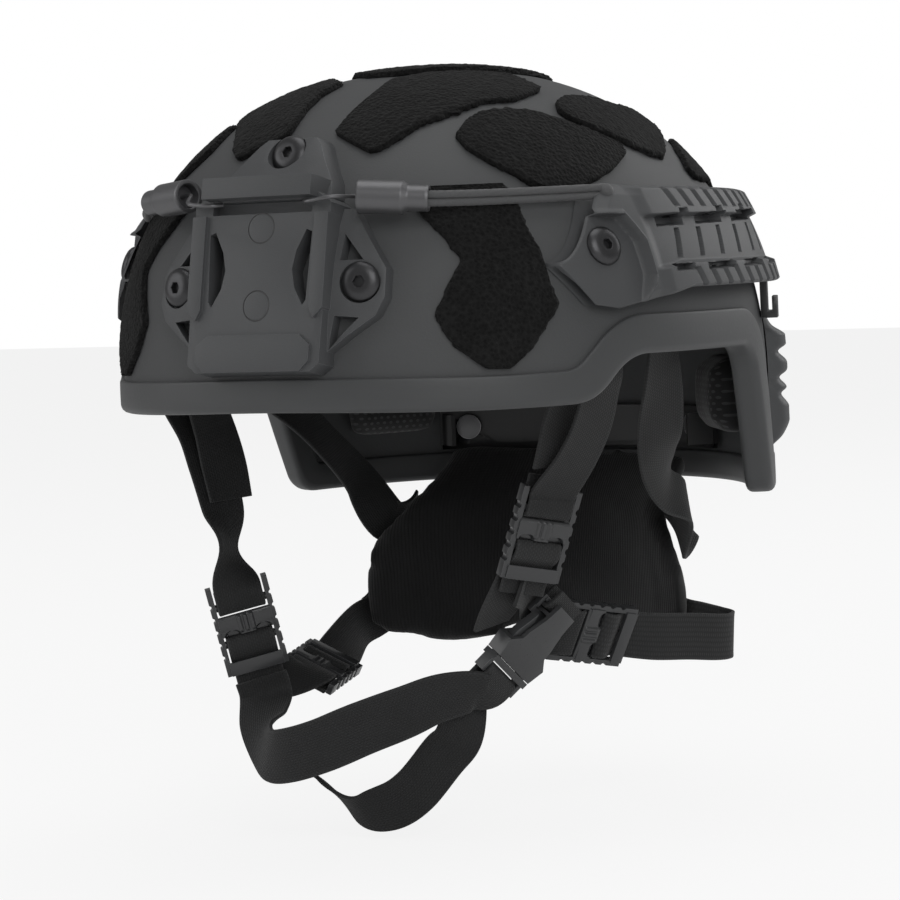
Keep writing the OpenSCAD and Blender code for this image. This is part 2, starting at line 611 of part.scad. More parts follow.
// Rear clip under the end of the rail, on a pin along the helmet
clip_y = 66;
clip_z = 43;
clip_w = 12;
pin_r = 1.5;
clip_out = 6;
clip_p = side(clip_y, clip_z, shell_d) + [clip_out, 0, 0];
clip_dir = -unit([side(clip_y + 8, clip_z, 0)[0] - side(clip_y - 8, clip_z, 0)[0], 16, 0]);
module clip_axis() {
    along(clip_p, clip_dir) children();
}
module clip_frame() {
    onto(clip_p, clip_dir, [0, 0, -1], cross(clip_dir, [0, 0, -1])) children();
}
// X runs along the pin, Y down and Z away from the head
module rail_clip() {
    hook = 21;
    color([0.16, 0.16, 0.17]) clip_frame() difference() {
        union() {
            rotate([0, 90, 0]) cylinder(h = clip_w, r = 3.4, center = true, $fn = 32);
            translate([-clip_w / 2, 0, -1.4]) cube([clip_w, hook, 3]);
            translate([-clip_w / 2, hook - 3, -1.4]) cube([clip_w, 3, 7]);
            translate([-clip_w / 2, hook - 9, 3.4]) cube([clip_w, 9, 2.2]);
        }
        rotate([0, 90, 0]) cylinder(h = clip_w + 2, r = pin_r + fit_gap, center = true, $fn = 24);
    }
}
module clip_pins() {
    color("gray") both_sides() clip_axis() cylinder(h = clip_w + 9, r = pin_r, center = true, $fn = 24);
}

// Ribbed guide behind the ear cut: upright bumps that follow the shell
guide_rows = [22, 18, 14, 10, 7, 3, -1, -4, -8, -11, -16, -22, -28, -31.5];
guide_rise = [2, 4, 9, 9, 5.5, 8.7, 8.7, 5.5, 8.3, 6, 9, 9, 6, 2];
module strap_guide() {
    ths = [30, 33, 37, 41, 45, 48];
    function row(i, k) = [for (j = [0 : len(ths) - 1])
        let(edge = j == 0 || j == len(ths) - 1 ? 0.35 : 1)
        surf(ths[j], guide_rows[i], shell_d + (k > 0 ? guide_rise[i] * edge : seat_gap))];
    color([0.27, 0.27, 0.28])
        slab([for (i = [0 : len(guide_rows) - 1]) row(i, 1)], [for (i = [0 : len(guide_rows) - 1]) row(i, 0)]);
}

// Smooth curve through points, n steps between each two
function spline(p, n) = concat([for (i = [0 : len(p) - 2]) for (j = [0 : n - 1])
    let(a = p[max(i - 1, 0)], b = p[i], c = p[i + 1], e = p[min(i + 2, len(p) - 1)], t = j / n)
    0.5 * (2 * b + (c - a) * t + (2 * a - 5 * b + 4 * c - e) * t * t + (3 * b - a - 3 * c + e) * t * t * t)],
    [p[len(p) - 1]]);
// Webbing through a list of [point, width direction]
module ribbon(path, w, t, n) {
    p = spline([for (c = path) c[0]], n);
    s = spline([for (c = path) c[1]], n);
    last = len(p) - 1;
    rings = [for (i = [0 : last])
        let(dir = unit(p[min(i + 1, last)] - p[max(i - 1, 0)]), u = unit(s[i] - dir * (s[i] * dir)),
            v = cross(dir, u))
        [p[i] + u * w / 2 - v * t / 2, p[i] + u * w / 2 + v * t / 2,
         p[i] - u * w / 2 + v * t / 2, p[i] - u * w / 2 - v * t / 2]];
    loft(rings, false);
}
// Round wire or cord along a smooth curve through points
module tube(points, r) {
    p = spline(points, 4);
    last = len(p) - 1;
    loft([for (i = [0 : last])
        let(t = unit(p[min(i + 1, last)] - p[max(i - 1, 0)]), a = unit(cross([0, 0, 1], t)), b = cross(t, a))
        [for (g = [0 : 30 : 330]) p[i] + r * (a * cos(g) + b * sin(g))]], false);
}

// Lanyard: the ferrule lies on a line from the shroud's corner towards the rail
ferrule_near = leant([38.3, 7.4, 82.7]);
// The right lanyard lies this much higher
right_lift = 3.5;
ferrule_dir = unit([25, 10, -2]);
ferrule_big = 17;
ferrule_long = 27;
hook_end = leant([in_x - 6, 1.5, shelf_z - 0.6 - hook_d / 2]);
module ferrule(lift) {
    ferrule_a = ferrule_near + [0, 0, lift];
    color([0.42, 0.42, 0.43]) {
        difference() {
            along(ferrule_a, ferrule_dir) {
                cylinder(h = ferrule_big, r = ferrule_d / 2, $fn = 48);
                translate([0, 0, ferrule_big]) cylinder(h = 2, r1 = ferrule_d / 2, r2 = ferrule_d / 2 - 1.5, $fn = 48);
                cylinder(h = ferrule_long, r = ferrule_d / 2 - 1.5, $fn = 48);
            }
            along(ferrule_a + ferrule_dir * (ferrule_long - 10), ferrule_dir)
                cylinder(h = 12, r = bungee_d + 0.35, $fn = 32);
            along(ferrule_a - ferrule_dir, ferrule_dir) cylinder(h = 6, r = ferrule_d / 2 - 1.8, $fn = 32);
        }
        tube([ferrule_a + ferrule_dir * 5.5, ferrule_a - ferrule_dir * 1.5, leant([bar_x + 1.8, -1.4, 81.2]),
             hook_end + [4, -4, 0], hook_end], hook_d / 2);
    }
}
anchor_p = side(-58, rail_top - 1.5, shell_d + 7.5);
// The cords lean on the front loop panel on their way to the rail
bungee_mid = surf(-47, 77.5, shell_d + panel_t + bungee_d / 2 + 1.3);
bungee_dir = unit(anchor_p - bungee_mid);
module bungee(lift) {
    bend = ferrule_near + ferrule_dir * (ferrule_long + 2) + [0, 0, lift];
    up = unit([0, 0, 1] - bungee_dir * bungee_dir[2]) * bungee_d * 0.43;
    color([0.25, 0.25, 0.25]) {
        for (k = [-1, 1]) tube([bend - ferrule_dir * 10 + up * k, bend + up * k, bungee_mid + up * k,
                                anchor_p + up * k], bungee_d / 2);
        translate(anchor_p) sphere(r = bungee_d + 0.1, $fn = 24);
    }
}

// Cushion on the inner wall between plan angles and rise angles
cushion = [0, 0.05, 0.2, 0.5, 0.8, 0.95, 1];
cushion_share = [0.4, 0.82, 1, 1, 1, 0.82, 0.4];
module cushion_pad(th0, th1, ph0, ph1, deep) {
    function row(i, k) = [for (j = [0 : 6])
        let(share = min(cushion_share[i], cushion_share[j]))
        dome(mix(th0, th1, cushion[i]), mix(ph0, ph1, cushion[j]), pad_d - deep - (k > 0 ? 0 : (pad_t - deep) * share))];
    color([0.13, 0.13, 0.13])
        slab([for (i = [0 : 6]) row(i, 1)], [for (i = [0 : 6]) row(i, 0)]);
}
module pad_front() {
    difference() {
        cushion_pad(-114, -66, 9, 38, 0);
        at_shroud_screws() translate([0, 0, -shell_wall - 4]) cylinder(h = 8, r = 8, $fn = 32);
    }
}
module pad_crown() {
    g = [-1, -0.86, -0.6, -0.3, 0, 0.3, 0.6, 0.86, 1];
    function row(v, k) = [for (u = g)
        let(x = 60 * u * sqrt(1 - v * v / 2), y = 4 + 60 * v * sqrt(1 - u * u / 2),
            share = min(1, 0.4 + 3.2 * (1 - max(abs(u), abs(v)))))
        top(x, y, pad_d - (k > 0 ? pad_t * share : 0))];
    color([0.13, 0.13, 0.13]) slab([for (v = g) row(v, 1)], [for (v = g) row(v, 0)]);
}
module pad_side() {
    cushion_pad(7, 28, 14, 34, 0.9);
}
module pad_rear() {
    cushion_pad(33, 53, -14, 3, 0);
}
module pad_back() {
    cushion_pad(67, 113, 6, 38, 0);
}

// Rear bracket: a curved strip behind the trim's inner lip, with two ears turned inwards
bracket_d = trim_in_d - soft_gap;
stud_th = 60;
bracket_z = 24 - rear_drop;
module at_studs() {
    for (t = [stud_th, 180 - stud_th])
        along(surf(t, bracket_z, shell_d), surf_normal(t, bracket_z, shell_d)) children();
}
module rear_bracket() {
    ths = [for (i = [0 : 12]) 54 + 6 * i];
    function row(t, d) = [for (z = [-10, -8, 6, 8]) surf(t, bracket_z + z, d - (abs(z) > 9 ? 0.4 : 0))];
    color([0.2, 0.2, 0.2]) difference() {
        union() {
            slab([for (t = ths) row(t, bracket_d)], [for (t = ths) row(t, bracket_d - 2)]);
            both_sides() translate(surf(54.5, bracket_z, bracket_d - 1)) rotate([0, 0, 38])
                translate([-12, -1, -8]) cube([12.6, 2, 14]);
        }
        at_studs() cylinder(h = 60, r = 4 + fit_gap, center = true, $fn = 32);
    }
}
module bracket_studs() {
    color("gray") at_studs() {
        translate([0, 0, -shell_wall - 7.4]) cylinder(h = 6.8, r = 4, $fn = 32);
        translate([0, 0, -shell_wall - 8.6]) cylinder(h = 2.4, r = 5.5, $fn = 32);
    }
}

// A ladder-lock stands in its own frame: [origin, width, length, outward]
function lock_frame(o, l, w) = let(a = unit(l), b = unit(w - a * (w * a))) [o, b, a, cross(b, a)];
f_front_left = lock_frame(fit([71, -47, -37.5]), [-0.33, -0.02, -0.94], [-0.55, -0.82, 0.15]);
f_front_right = lock_frame(fit([-74, -57.5, -75.5]), [0.108, 0.203, -0.973], [-0.78, -0.59, -0.21]);
f_rear_left = lock_frame(fit([48.8, -10.7, -98.6]), [0.4, 0.895, -0.2], [-0.4, -0.02, -0.91]);
f_rear_right = lock_frame(fit([-62, -27, -119.5]), [-0.22, 0.97, 0.08], [0.865, 0.19, -0.464]);
// Point of a lock's frame at width x, length l and height n
function at(f, x, l, n) = f[0] + f[1] * x + f[2] * l + f[3] * n;
rail_gap = 0.7;
lock_rail = 2.3;
hinge_l = 9;
low_l = 25;
wrap_r = bar_r + 0.45 + web_t / 2;
lock_in = web_w / 2 + rail_gap;
module lock(f) {
    color([0.25, 0.25, 0.26]) onto(f[0], f[1], f[2], f[3]) {
        difference() {
            for (k = [-1, 1]) translate([k * (lock_in + lock_rail / 2), lock_l / 2, 0])
                cube([lock_rail, lock_l, lock_t], center = true);
            for (k = [-1, 1]) for (i = [0 : 4])
                translate([k * (lock_in + lock_rail + 0.5), 8 + 5.5 * i, 0])
                    cylinder(h = 8, r = 1.4, center = true, $fn = 24);
        }
        for (l = [hinge_l, low_l]) translate([0, l, 0]) rotate([0, 90, 0])
            cylinder(h = 2 * lock_in + 1, r = bar_r, center = true, $fn = 32);
        translate([-lock_in - 0.5, 14, 0.9]) cube([2 * lock_in + 1, 5, 2.1]);
        translate([-lock_in - 0.5, lock_l - 5.5, 1.2]) cube([2 * lock_in + 1, 5.5, 1.8]);
    }
}
// Webbing round a bar at length l, from the outer side to the inner side, over the far side
function wrap(f, l, way) = [for (g = [0 : 45 : 180])
    [at(f, 0, l + way * wrap_r * sin(g), wrap_r * cos(g)), f[1]]];

// Front straps: from the rail's bolt down the inner wall, then free to the lock
module strap_hole(place) {
    at_side(place) cylinder(h = 60, r = bore_r + 0.4, center = true, $fn = 32);
}
function wall_strap(y, z, d) = [side(y, z, d), unit(side(y + 4, z, d) - side(y - 4, z, d))];
inner_layer = web_t + layer_gap;
lean_left = [[[99, -57, -1], [0.3, 0.95, 0]], [[92.5, -53, -14], [0.38, 0.92, -0.05]],
    [[84, -50.5, -26.5], [0.47, 0.87, -0.1]]];
module front_strap(anchor, free, f) {
    path = concat([wall_strap(-66, 68, strap_d), wall_strap(-66, 55, strap_d), wall_strap(-64.5, 40, strap_d),
                   wall_strap(-62.5, 22, strap_d), wall_strap(-60.5, 9, strap_d)],
                  fitted(free),
                  [[at(f, 0, 1, wrap_r), -f[1]], [at(f, 0, 5, wrap_r), -f[1]]],
                  [for (c = wrap(f, hinge_l, 1)) [c[0], -f[1]]],
                  [[at(f, 0, 4, -wrap_r), -f[1]], [at(f, 0, -4, -wrap_r - 0.1), -f[1]]]);
    color([0.2, 0.2, 0.2]) difference() {
        ribbon(path, web_w, web_t, 2);
        strap_hole(rail_screw);
    }
}
module front_strap_left() {
    front_strap(rail_screw, lean_left, f_front_left);
}
module front_strap_right() {
    mirror_f = [for (v = f_front_right) [-v[0], v[1], v[2]]];
    // Drawn on the left and mirrored, so the width directions are turned there
    free = [[[98, -58, 0], [-0.2, 0.98, 0]], [[91, -54, -14], [-0.4, 0.9, 0]], [[86, -53, -28], [-0.55, 0.83, 0]],
        [[80.5, -54, -46], [-0.4, 0.88, 0]], [[76.5, -57, -62], [0.3, 0.95, 0.1]]];
    path = concat([wall_strap(-66, 68, strap_d), wall_strap(-66, 55, strap_d), wall_strap(-64.5, 40, strap_d),
                   wall_strap(-63, 22, strap_d), wall_strap(-61, 10, strap_d)],
                  fitted(free),
                  [for (c = concat([[at(f_front_right, 0, 3, wrap_r), f_front_right[1]]],
                                   wrap(f_front_right, hinge_l, 1),
                                   [[at(f_front_right, 0, 3, -wrap_r), f_front_right[1]]]))
                      let(w = c[1]) [[-c[0][0], c[0][1], c[0][2]], [w[0], -w[1], -w[2]]]]);
    color([0.2, 0.2, 0.2]) mirror([1, 0, 0]) difference() {
        ribbon(path, web_w, web_t, 2);
        strap_hole(rail_screw);
    }
}
module inner_strap(free) {
    d = strap_d - inner_layer;
    path = concat([wall_strap(-66, 67, d), wall_strap(-66, 55, d), wall_strap(-64.5, 40, d)], fitted(free));
    color([0.14, 0.14, 0.14]) difference() {
        ribbon(path, web_w, web_t, 2);
        strap_hole(rail_screw);
    }
}
module inner_strap_left() {
    inner_strap([[[94.5, -61.5, 22], [0.15, 0.99, 0]], [[88, -60, 4], [0.15, 0.98, 0]], [[82.5, -57, -9], [0.3, 0.95, 0]],
        [[78.5, -53.8, -20], [0.42, 0.9, 0]], [[75, -51, -28], [0.5, 0.86, 0]]]);
}
module inner_strap_right() {
    mirror([1, 0, 0]) inner_strap([[[94.5, -60, 22], [-0.1, 0.99, 0]], [[87, -57, 4], [-0.2, 0.98, 0]],
        [[83.5, -53, -12], [-0.4, 0.9, 0]], [[80.5, -51.5, -28], [-0.55, 0.83, 0]], [[77.5, -52, -42], [-0.45, 0.88, 0]]]);
}

// Nape pad: a sheet that curves round the neck
function nape_y(x, z) =
    let(c = z > -58 ? mix(0.01, 0.0035, (z + 58) / 24) : mix(0.0066, 0.01, max(0, (z + 90) / 32)),
        m = z > -58 ? mix(104, 121, (z + 58) / 24) : mix(95, 104, max(0, (z + 90) / 32)))
    m - c * x * x;
// Point beside the sheet, off it by n towards the neck
function nape_at(x, z, n) =
    let(y = nape_y(x, z), e = nape_y(x + 1, z) - y, g = nape_y(x, z + 1) - y, k = unit([e, -1, g]))
    [x * kx, y * ky, z] + k * n;
nape_rows = [[-37, 58], [-39, 60], [-46, 60], [-58, 63], [-68, 70], [-79, 77.5], [-88, 80], [-98, 79.5], [-106, 77]];
nape_cols = [-1, -0.95, -0.84, -0.68, -0.5, -0.25, 0, 0.25, 0.5, 0.68, 0.84, 0.95, 1];
module nape_pad() {
    wide = nape_w / 80;
    last = len(nape_rows) - 1;
    function share(i, j) = (i == 0 || i == last + 2 || j == 0 || j == 12 ? 0.3
        : i == 1 || i == last + 1 || j == 1 || j == 11 ? 0.8 : 1);
    function place(i, u) = i <= last ? [u * nape_rows[i][1] * wide, nape_rows[i][0]]
        : let(low = -108 - (u < 0 ? 14 : 4) * pow(sin(130 * abs(u)), 2))
          [u * (i == last + 1 ? 73 : 68) * wide, i == last + 1 ? low + 3 : low];
    function row(i, k) = [for (j = [0 : 12])
        let(p = place(i, nape_cols[j])) nape_at(p[0], p[1], k * nape_t / 2 * share(i, j))];
    color([0.1, 0.1, 0.1]) translate([0, 0, -1]) rotate([0, 2.2, 0]) translate([0, 0, 1])
        slab([for (i = [0 : last + 2]) row(i, -1)], [for (i = [0 : last + 2]) row(i, 1)]);
}
// Point beside the nape pad as it hangs, with its small tilt
function hung(p) = [p[0] * cos(2.2) + (p[2] + 1) * sin(2.2), p[1], (p[2] + 1) * cos(2.2) - p[0] * sin(2.2) - 1];
off_pad = nape_t / 2 + soft_gap + web_t / 2;
module rear_strap(k) {
    wall = [[side(-8, 66, strap_d), [0, 1, 0]], [side(-8, 53, strap_d), [0, 1, 0]], [side(-8.5, 38, strap_d), [0, 1, 0.1]]];
    ends = [hung(nape_at(k * 65, -58, -off_pad - 5)), hung(nape_at(k * 56.5, -62.5, -off_pad - 6.3))];
    free = k > 0
        ? [[[104.5, -11, 20], [0.05, 0.98, 0.2]], [[101, -6, 2], [0.35, 0.85, 0.25]], [[93, 6, -19], [0.72, 0.62, 0.3]],
           [[85.5, 18, -34], [0.45, 0.6, 0.66]], [[81, 33, -46], [-0.05, 0.5, 0.86]], [[80.5, 53, -54], [-0.35, 0.45, 0.82]]]
        : [[[103, -3, 20], [-0.1, 0.97, 0.2]], [[98, 4, 4], [-0.2, 0.9, 0.3]], [[88, 19, -12], [0.1, 0.75, 0.6]],
           [[84, 34, -26], [0.2, 0.6, 0.75]], [[82.5, 56, -44], [0, 0.5, 0.85]]];
    path = concat(wall, fitted(free), [for (e = ends) [[k * e[0], e[1], e[2]], [-0.45, 0.4, 0.8]]]);
    color([0.16, 0.16, 0.16]) scale([k, 1, 1]) difference() {
        ribbon(path, web_w, web_t, 2);
        strap_hole(harness_bolt);
    }
}

// Webbing below each front lock: tail, turn round the low bar, leg and the piece to the rear lock
function threaded(f) = concat(
    [[at(f, 0, 36, -4.9), f[1]], [at(f, 0, 30, -3.9), f[1]]],
    [for (g = [180 : -45 : 0]) [at(f, 0, low_l - wrap_r * sin(g), wrap_r * cos(g)), f[1]]],
    [[at(f, 0, 28.4, 2.2), f[1]], [at(f, 0, 33, -1.2), f[1]], [at(f, 0, 38, -1.7), f[1]]]);
module junction_left() {
    f = f_front_left;
    g = f_rear_left;
    color([0.17, 0.17, 0.17]) union() {
        ribbon(concat([[fit([38.6, -43.5, -93]), [0.08, -0.96, 0.27]], [fit([47, -46.5, -82.5]), [-0.25, -0.92, 0.25]]],
                      threaded(f), [[at(f, 0, 45, -1.7), f[1]]]),
               web_w, web_t, 1);
        ribbon(concat([[at(f, 0, 41, -1.6) + [1, -3, 1], [-0.2, -0.42, -0.88]], [fit([53.6, -36, -78.6]), [-0.35, -0.35, -0.87]],
                       [fit([49.2, -23.3, -85]), [-0.5, -0.4, -0.75]], [at(g, 0, -4, wrap_r - 1.2), g[1]], [at(g, 0, 3, wrap_r), g[1]]],
                      wrap(g, hinge_l, 1), [[at(g, 0, 2, -wrap_r), g[1]]]),
               web_w, web_t, 2);
    }
}
// Webbing loop through the bar of the buckle's socket
module socket_loop() {
    path = concat([[buckle_at(-36, 0, loop_n + loop_r), buckle_f[1]]],
        [for (a = [0 : 45 : 180]) [buckle_at(-bar_s + loop_r * sin(a), 0, loop_n + loop_r * cos(a)), buckle_f[1]]],
        [[buckle_at(-36, 0, loop_n - loop_r), buckle_f[1]]]);
    ribbon(path, web_w - 2, web_t, 1);
}
module junction_right() {
    f = f_front_right;
    g = f_rear_right;
    color([0.17, 0.17, 0.17]) union() {
        ribbon(concat(threaded(f), [[at(f, 0, 50, -1.7), f[1]]]), web_w, web_t, 1);
        ribbon(concat([[at(f, 0, 42, -2.1), [-0.09, 0.04, -0.94]],
                       [fit([-65.5, -39, -117]), [0.4, -0.1, -0.9]], [at(g, 0, 1, wrap_r), g[1]]],
                      wrap(g, hinge_l, 1), [[at(g, 0, 2, -wrap_r), g[1]]]),
               web_w, web_t, 2);
    }
}
// Straps from the rear locks to the nape pad
module nape_strap_left() {
    f = f_rear_left;
    tip = [[72, 36, -108], [80, 52, -110], [86, 65, -112]];
    back = hung(nape_at(70, -104, -off_pad - 1.2));
    back2 = hung(nape_at(58, -103, -off_pad - 0.9));
    path = concat([for (c = threaded(f)) [c[0], c[1]]],
        [for (p = tip) [fit(p), [-0.15, 0, -1]]],
        [[fit([88, 73, -112.5]), [-0.1, 0, -1]], [fit([86, 77.5, -112]), [-0.05, 0, -1]],
         [fit([80, 76, -110.5]), [0, 0, -1]], [back, [0, 0, -1]], [back2, [0, 0, -1]]]);
    color([0.19, 0.19, 0.19]) ribbon(path, web_w, web_t, 2);
}
module nape_strap_right() {
    f = f_rear_right;
    back = hung(nape_at(-69, -105, -off_pad - 1.4));
    back2 = hung(nape_at(-57, -104, -off_pad - 0.6));
    path = concat(threaded(f), [[fit([-76, 26, -115]), [0.6, 0.2, -0.75]], [fit([-86, 56, -110]), [0.2, 0.1, -0.95]],
                                [fit([-84.5, 68, -107]), [-0.05, 0, -1]], [back, [0.05, 0, -1]], [back2, [0.05, 0, -1]]]);
    color([0.16, 0.16, 0.16]) ribbon(path, web_w, web_t, 2);
}

// Side-release buckle: S runs from socket to plug, W across and N away from the face
buckle_f = lock_frame(fit([41, -35.6, -109.8]), [-0.58, -0.465, -0.67], [0, 0.82, -0.57]);
buckle_n = -buckle_f[3];
function buckle_at(s, w, n) = buckle_f[0] + buckle_f[2] * s + buckle_f[1] * w + buckle_n * n;
bw = buckle_w / 2;
bar_s = 29.5;
loop_r = 1.1 + 0.4 + web_t / 2;
loop_n = -buckle_t / 2 + 1.9;
module on_buckle() {
    onto(buckle_f[0], buckle_f[2], buckle_f[1], buckle_n) children();
}
socket_half = [[0, 1.9], [-7.7, 0.1], [-11.5, 5.2], [-15, 5.5], [-23, 8], [-26, 8.4]];
module buckle_socket() {
    up = [for (p = socket_half) [p[0], bw - p[1]]];
    down = [for (i = [0 : len(up) - 1]) let(p = up[len(up) - 1 - i]) [p[0], -p[1]]];
    front = concat([[up[0][0], 0]], up, [[-31, bw - 8.8], [-31, 8.8 - bw]], down);
    color([0.3, 0.3, 0.31]) on_buckle() difference() {
        union() {
            translate([0, 0, -buckle_t / 2]) linear_extrude(buckle_t) polygon(concat(up, down));
            translate([0, 0, buckle_t / 2 - 2]) linear_extrude(2) polygon(front);
            translate([-bar_s, 0, loop_n]) rotate([90, 0, 0]) cylinder(h = web_w + 1, r = 1.1, center = true, $fn = 24);
            for (k = [-1, 1]) translate([-bar_s - 1.1, k * (web_w / 2 + 0.9) - 1, -buckle_t / 2]) cube([9, 2, 2.4]);
            translate([-24, -web_w / 2 - 1.9, -buckle_t / 2]) cube([2.5, web_w + 3.8, 2.4]);
        }
        // Mouth that takes the plug
        translate([-24.5, -bw + 1.9, -2.2]) cube([30, 2 * bw - 3.8, 4.4]);
    }
}
plug_bar = 7;
module buckle_plug() {
    half = chin_w / 2 + 0.5;
    color([0.3, 0.3, 0.31]) on_buckle() {
        translate([0.3, -half - 2, -buckle_t / 2 + 0.3]) cube([2.7, 2 * half + 4, buckle_t - 0.6]);
        for (k = [-1, 1]) {
            translate([0.3, k * (half + 1) - 1, -2.5]) cube([plug_bar + 1.6, 2, 5]);
            linear_extrude(3.4, center = true)
                polygon([[0.5, k * (bw - 6.5)], [0.5, k * (bw - 2.6)], [-9, k * (bw - 2.6)], [-12, k * (bw - 2.2)],
                         [-22.5, k * (bw - 4.6)], [-19, k * (bw - 6.2)], [-11, k * (bw - 6.2)]]);
        }
        translate([plug_bar, 0, 0]) rotate([90, 0, 0]) cylinder(h = 2 * half + 2, r = bar_r, center = true, $fn = 32);
    }
}
chin_r = bar_r + 0.4 + web_t / 2;
module chin_strap() {
    f = f_front_right;
    w = buckle_f[1];
    path = concat(
        [[buckle_at(20, 0, -chin_r - 0.6), -w], [buckle_at(13, 0, -chin_r), -w]],
        [for (a = [180 : -45 : 0]) [buckle_at(plug_bar - chin_r * sin(a), 0, chin_r * cos(a)), -w]],
        [[buckle_at(13, 0, chin_r - 0.2), -w], [fit([30.5, -47.8, -119.4]), [-0.05, -0.7, 0.7]]],
        fitted([[[20, -57, -121], [-0.1, -0.5, 0.85]], [[8, -64, -126], [-0.15, -0.3, 0.93]],
                [[-8, -71, -132], [-0.2, -0.14, 0.97]], [[-24, -76, -138.5], [-0.22, 0, 0.97]],
                [[-38, -79, -142.5], [-0.2, 0.05, 0.97]], [[-49, -76, -143.5], [0.05, 0.1, 0.97]],
                [[-58, -67, -139.5], [0.4, 0.1, 0.9]], [[-64, -57, -132], [0.7, 0.45, 0.45]]]),
        [[at(f, 0, 50, 0.75), -f[1]], [at(f, 0, 42, 0.55), -f[1]]]);
    color([0.18, 0.18, 0.18]) ribbon(path, chin_w, web_t, 2);
}
module chin_strap_under() {
    path = concat([[buckle_at(18, 0, -chin_r - 5.8), [-0.1, -0.8, 0.58]]], fitted([[[23.3, -41.5, -127.8], [-0.4, -0.72, 0.45]],
        [[20, -42.5, -139.5], [-0.68, -0.55, 0.4]], [[13, -43.5, -147], [-0.72, -0.3, 0.6]],
        [[2, -48, -160.5], [-0.5, -0.15, 0.8]], [[-8, -52, -167], [-0.25, -0.2, 0.95]],
        [[-20, -56, -168], [-0.05, -0.6, 0.75]], [[-31, -58, -160.5], [0.2, -0.85, 0.4]],
        [[-39, -61, -153], [0.2, -0.85, 0.45]], [[-45, -67, -146.5], [0.2, -0.75, 0.6]]]));
    color([0.18, 0.18, 0.18]) ribbon(path, chin_w - 2, web_t, 2);
}

shell();
edge_trim();
loop_front();  // loop_front_left
mirror([1, 0, 0]) loop_front();  // loop_front_right
loop_top();  // loop_top_left
mirror([1, 0, 0]) loop_top();  // loop_top_right
loop_side();  // loop_side_left
mirror([1, 0, 0]) loop_side();  // loop_side_right
loop_rear_top();  // loop_rear_top_left
mirror([1, 0, 0]) loop_rear_top();  // loop_rear_top_right
loop_quarter();  // loop_quarter_left
mirror([1, 0, 0]) loop_quarter();  // loop_quarter_right
loop_crown();
loop_back();
front_shroud();
shroud_screws();
shroud_posts();
rail();  // rail_left
mirror([1, 0, 0]) rail();  // rail_right
rail_screws();
strap_posts();
rail_clip();  // rail_clip_left
mirror([1, 0, 0]) rail_clip();  // rail_clip_right
clip_pins();
strap_guide();  // strap_guide_left
mirror([1, 0, 0]) strap_guide();  // strap_guide_right
ferrule(0);  // ferrule_left
mirror([1, 0, 0]) ferrule(right_lift);  // ferrule_right
bungee(0);  // bungee_left
mirror([1, 0, 0]) bungee(right_lift);  // bungee_right
pad_front();
pad_crown();
pad_side();  // pad_side_left
mirror([1, 0, 0]) pad_side();  // pad_side_right
pad_rear();  // pad_rear_left
mirror([1, 0, 0]) pad_rear();  // pad_rear_right
pad_back();
rear_bracket();
bracket_studs();
harness_bolts();
front_strap_left();
front_strap_right();
inner_strap_left();
inner_strap_right();
rear_strap(1);  // rear_strap_left
rear_strap(-1);  // rear_strap_right
nape_pad();
lock(f_front_left);  // lock_front_left
lock(f_front_right);  // lock_front_right
lock(f_rear_left);  // lock_rear_left
lock(f_rear_right);  // lock_rear_right
junction_left();
color([0.17, 0.17, 0.17]) socket_loop();
junction_right();
nape_strap_left();
nape_strap_right();
buckle_socket();
buckle_plug();
chin_strap();
chin_strap_under();
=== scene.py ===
import math
import bmesh
import bpy
import numpy as np
from mathutils import Matrix
from mathutils.bvhtree import BVHTree


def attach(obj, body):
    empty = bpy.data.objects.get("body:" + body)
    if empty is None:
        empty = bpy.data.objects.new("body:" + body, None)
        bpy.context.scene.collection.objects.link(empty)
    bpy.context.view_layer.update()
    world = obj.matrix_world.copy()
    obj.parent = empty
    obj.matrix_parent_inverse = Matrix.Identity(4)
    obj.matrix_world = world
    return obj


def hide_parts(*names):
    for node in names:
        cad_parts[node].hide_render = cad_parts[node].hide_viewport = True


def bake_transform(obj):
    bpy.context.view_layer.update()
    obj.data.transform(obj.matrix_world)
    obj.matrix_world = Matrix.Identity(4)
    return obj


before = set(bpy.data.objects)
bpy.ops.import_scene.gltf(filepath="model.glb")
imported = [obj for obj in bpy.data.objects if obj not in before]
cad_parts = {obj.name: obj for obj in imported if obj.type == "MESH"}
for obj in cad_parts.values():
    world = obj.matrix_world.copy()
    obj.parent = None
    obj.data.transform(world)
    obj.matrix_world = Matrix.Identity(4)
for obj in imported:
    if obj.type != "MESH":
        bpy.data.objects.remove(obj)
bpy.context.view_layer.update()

# The camera stands in front of the helmet on the wearer's left, a little above the rim.
# Its angles and its distance come from the rim, the screws and the shroud in the photograph.
MM = 0.001
CAMERA_YAW, CAMERA_RISE, CAMERA_ROLL = 30.327, 3.336, 2.852
CAMERA_AWAY = 1335.1
CAMERA_LENS = 128.68
yaw, rise, roll = (math.radians(a) for a in (CAMERA_YAW, CAMERA_RISE, CAMERA_ROLL))
to_camera = np.array([math.sin(yaw) * math.cos(rise), -math.cos(yaw) * math.cos(rise), math.sin(rise)])
level = np.array([math.cos(yaw), math.sin(yaw), 0.0])
upright = np.cross(to_camera, level)
camera_x = math.cos(roll) * level - math.sin(roll) * upright
camera_y = math.sin(roll) * level + math.cos(roll) * upright
camera = bpy.data.objects.new("camera", bpy.data.cameras.new("camera"))
bpy.context.scene.collection.objects.link(camera)
camera.matrix_world = Matrix([
    [*(float(v[i]) for v in (camera_x, camera_y, to_camera)), float(to_camera[i]) * CAMERA_AWAY * MM]
    for i in range(3)] + [[0, 0, 0, 1]])
camera.data.lens = CAMERA_LENS
camera.data.sensor_width = 36
camera.data.shift_x = -0.0009
camera.data.shift_y = -0.0710
camera.data.clip_end = 20
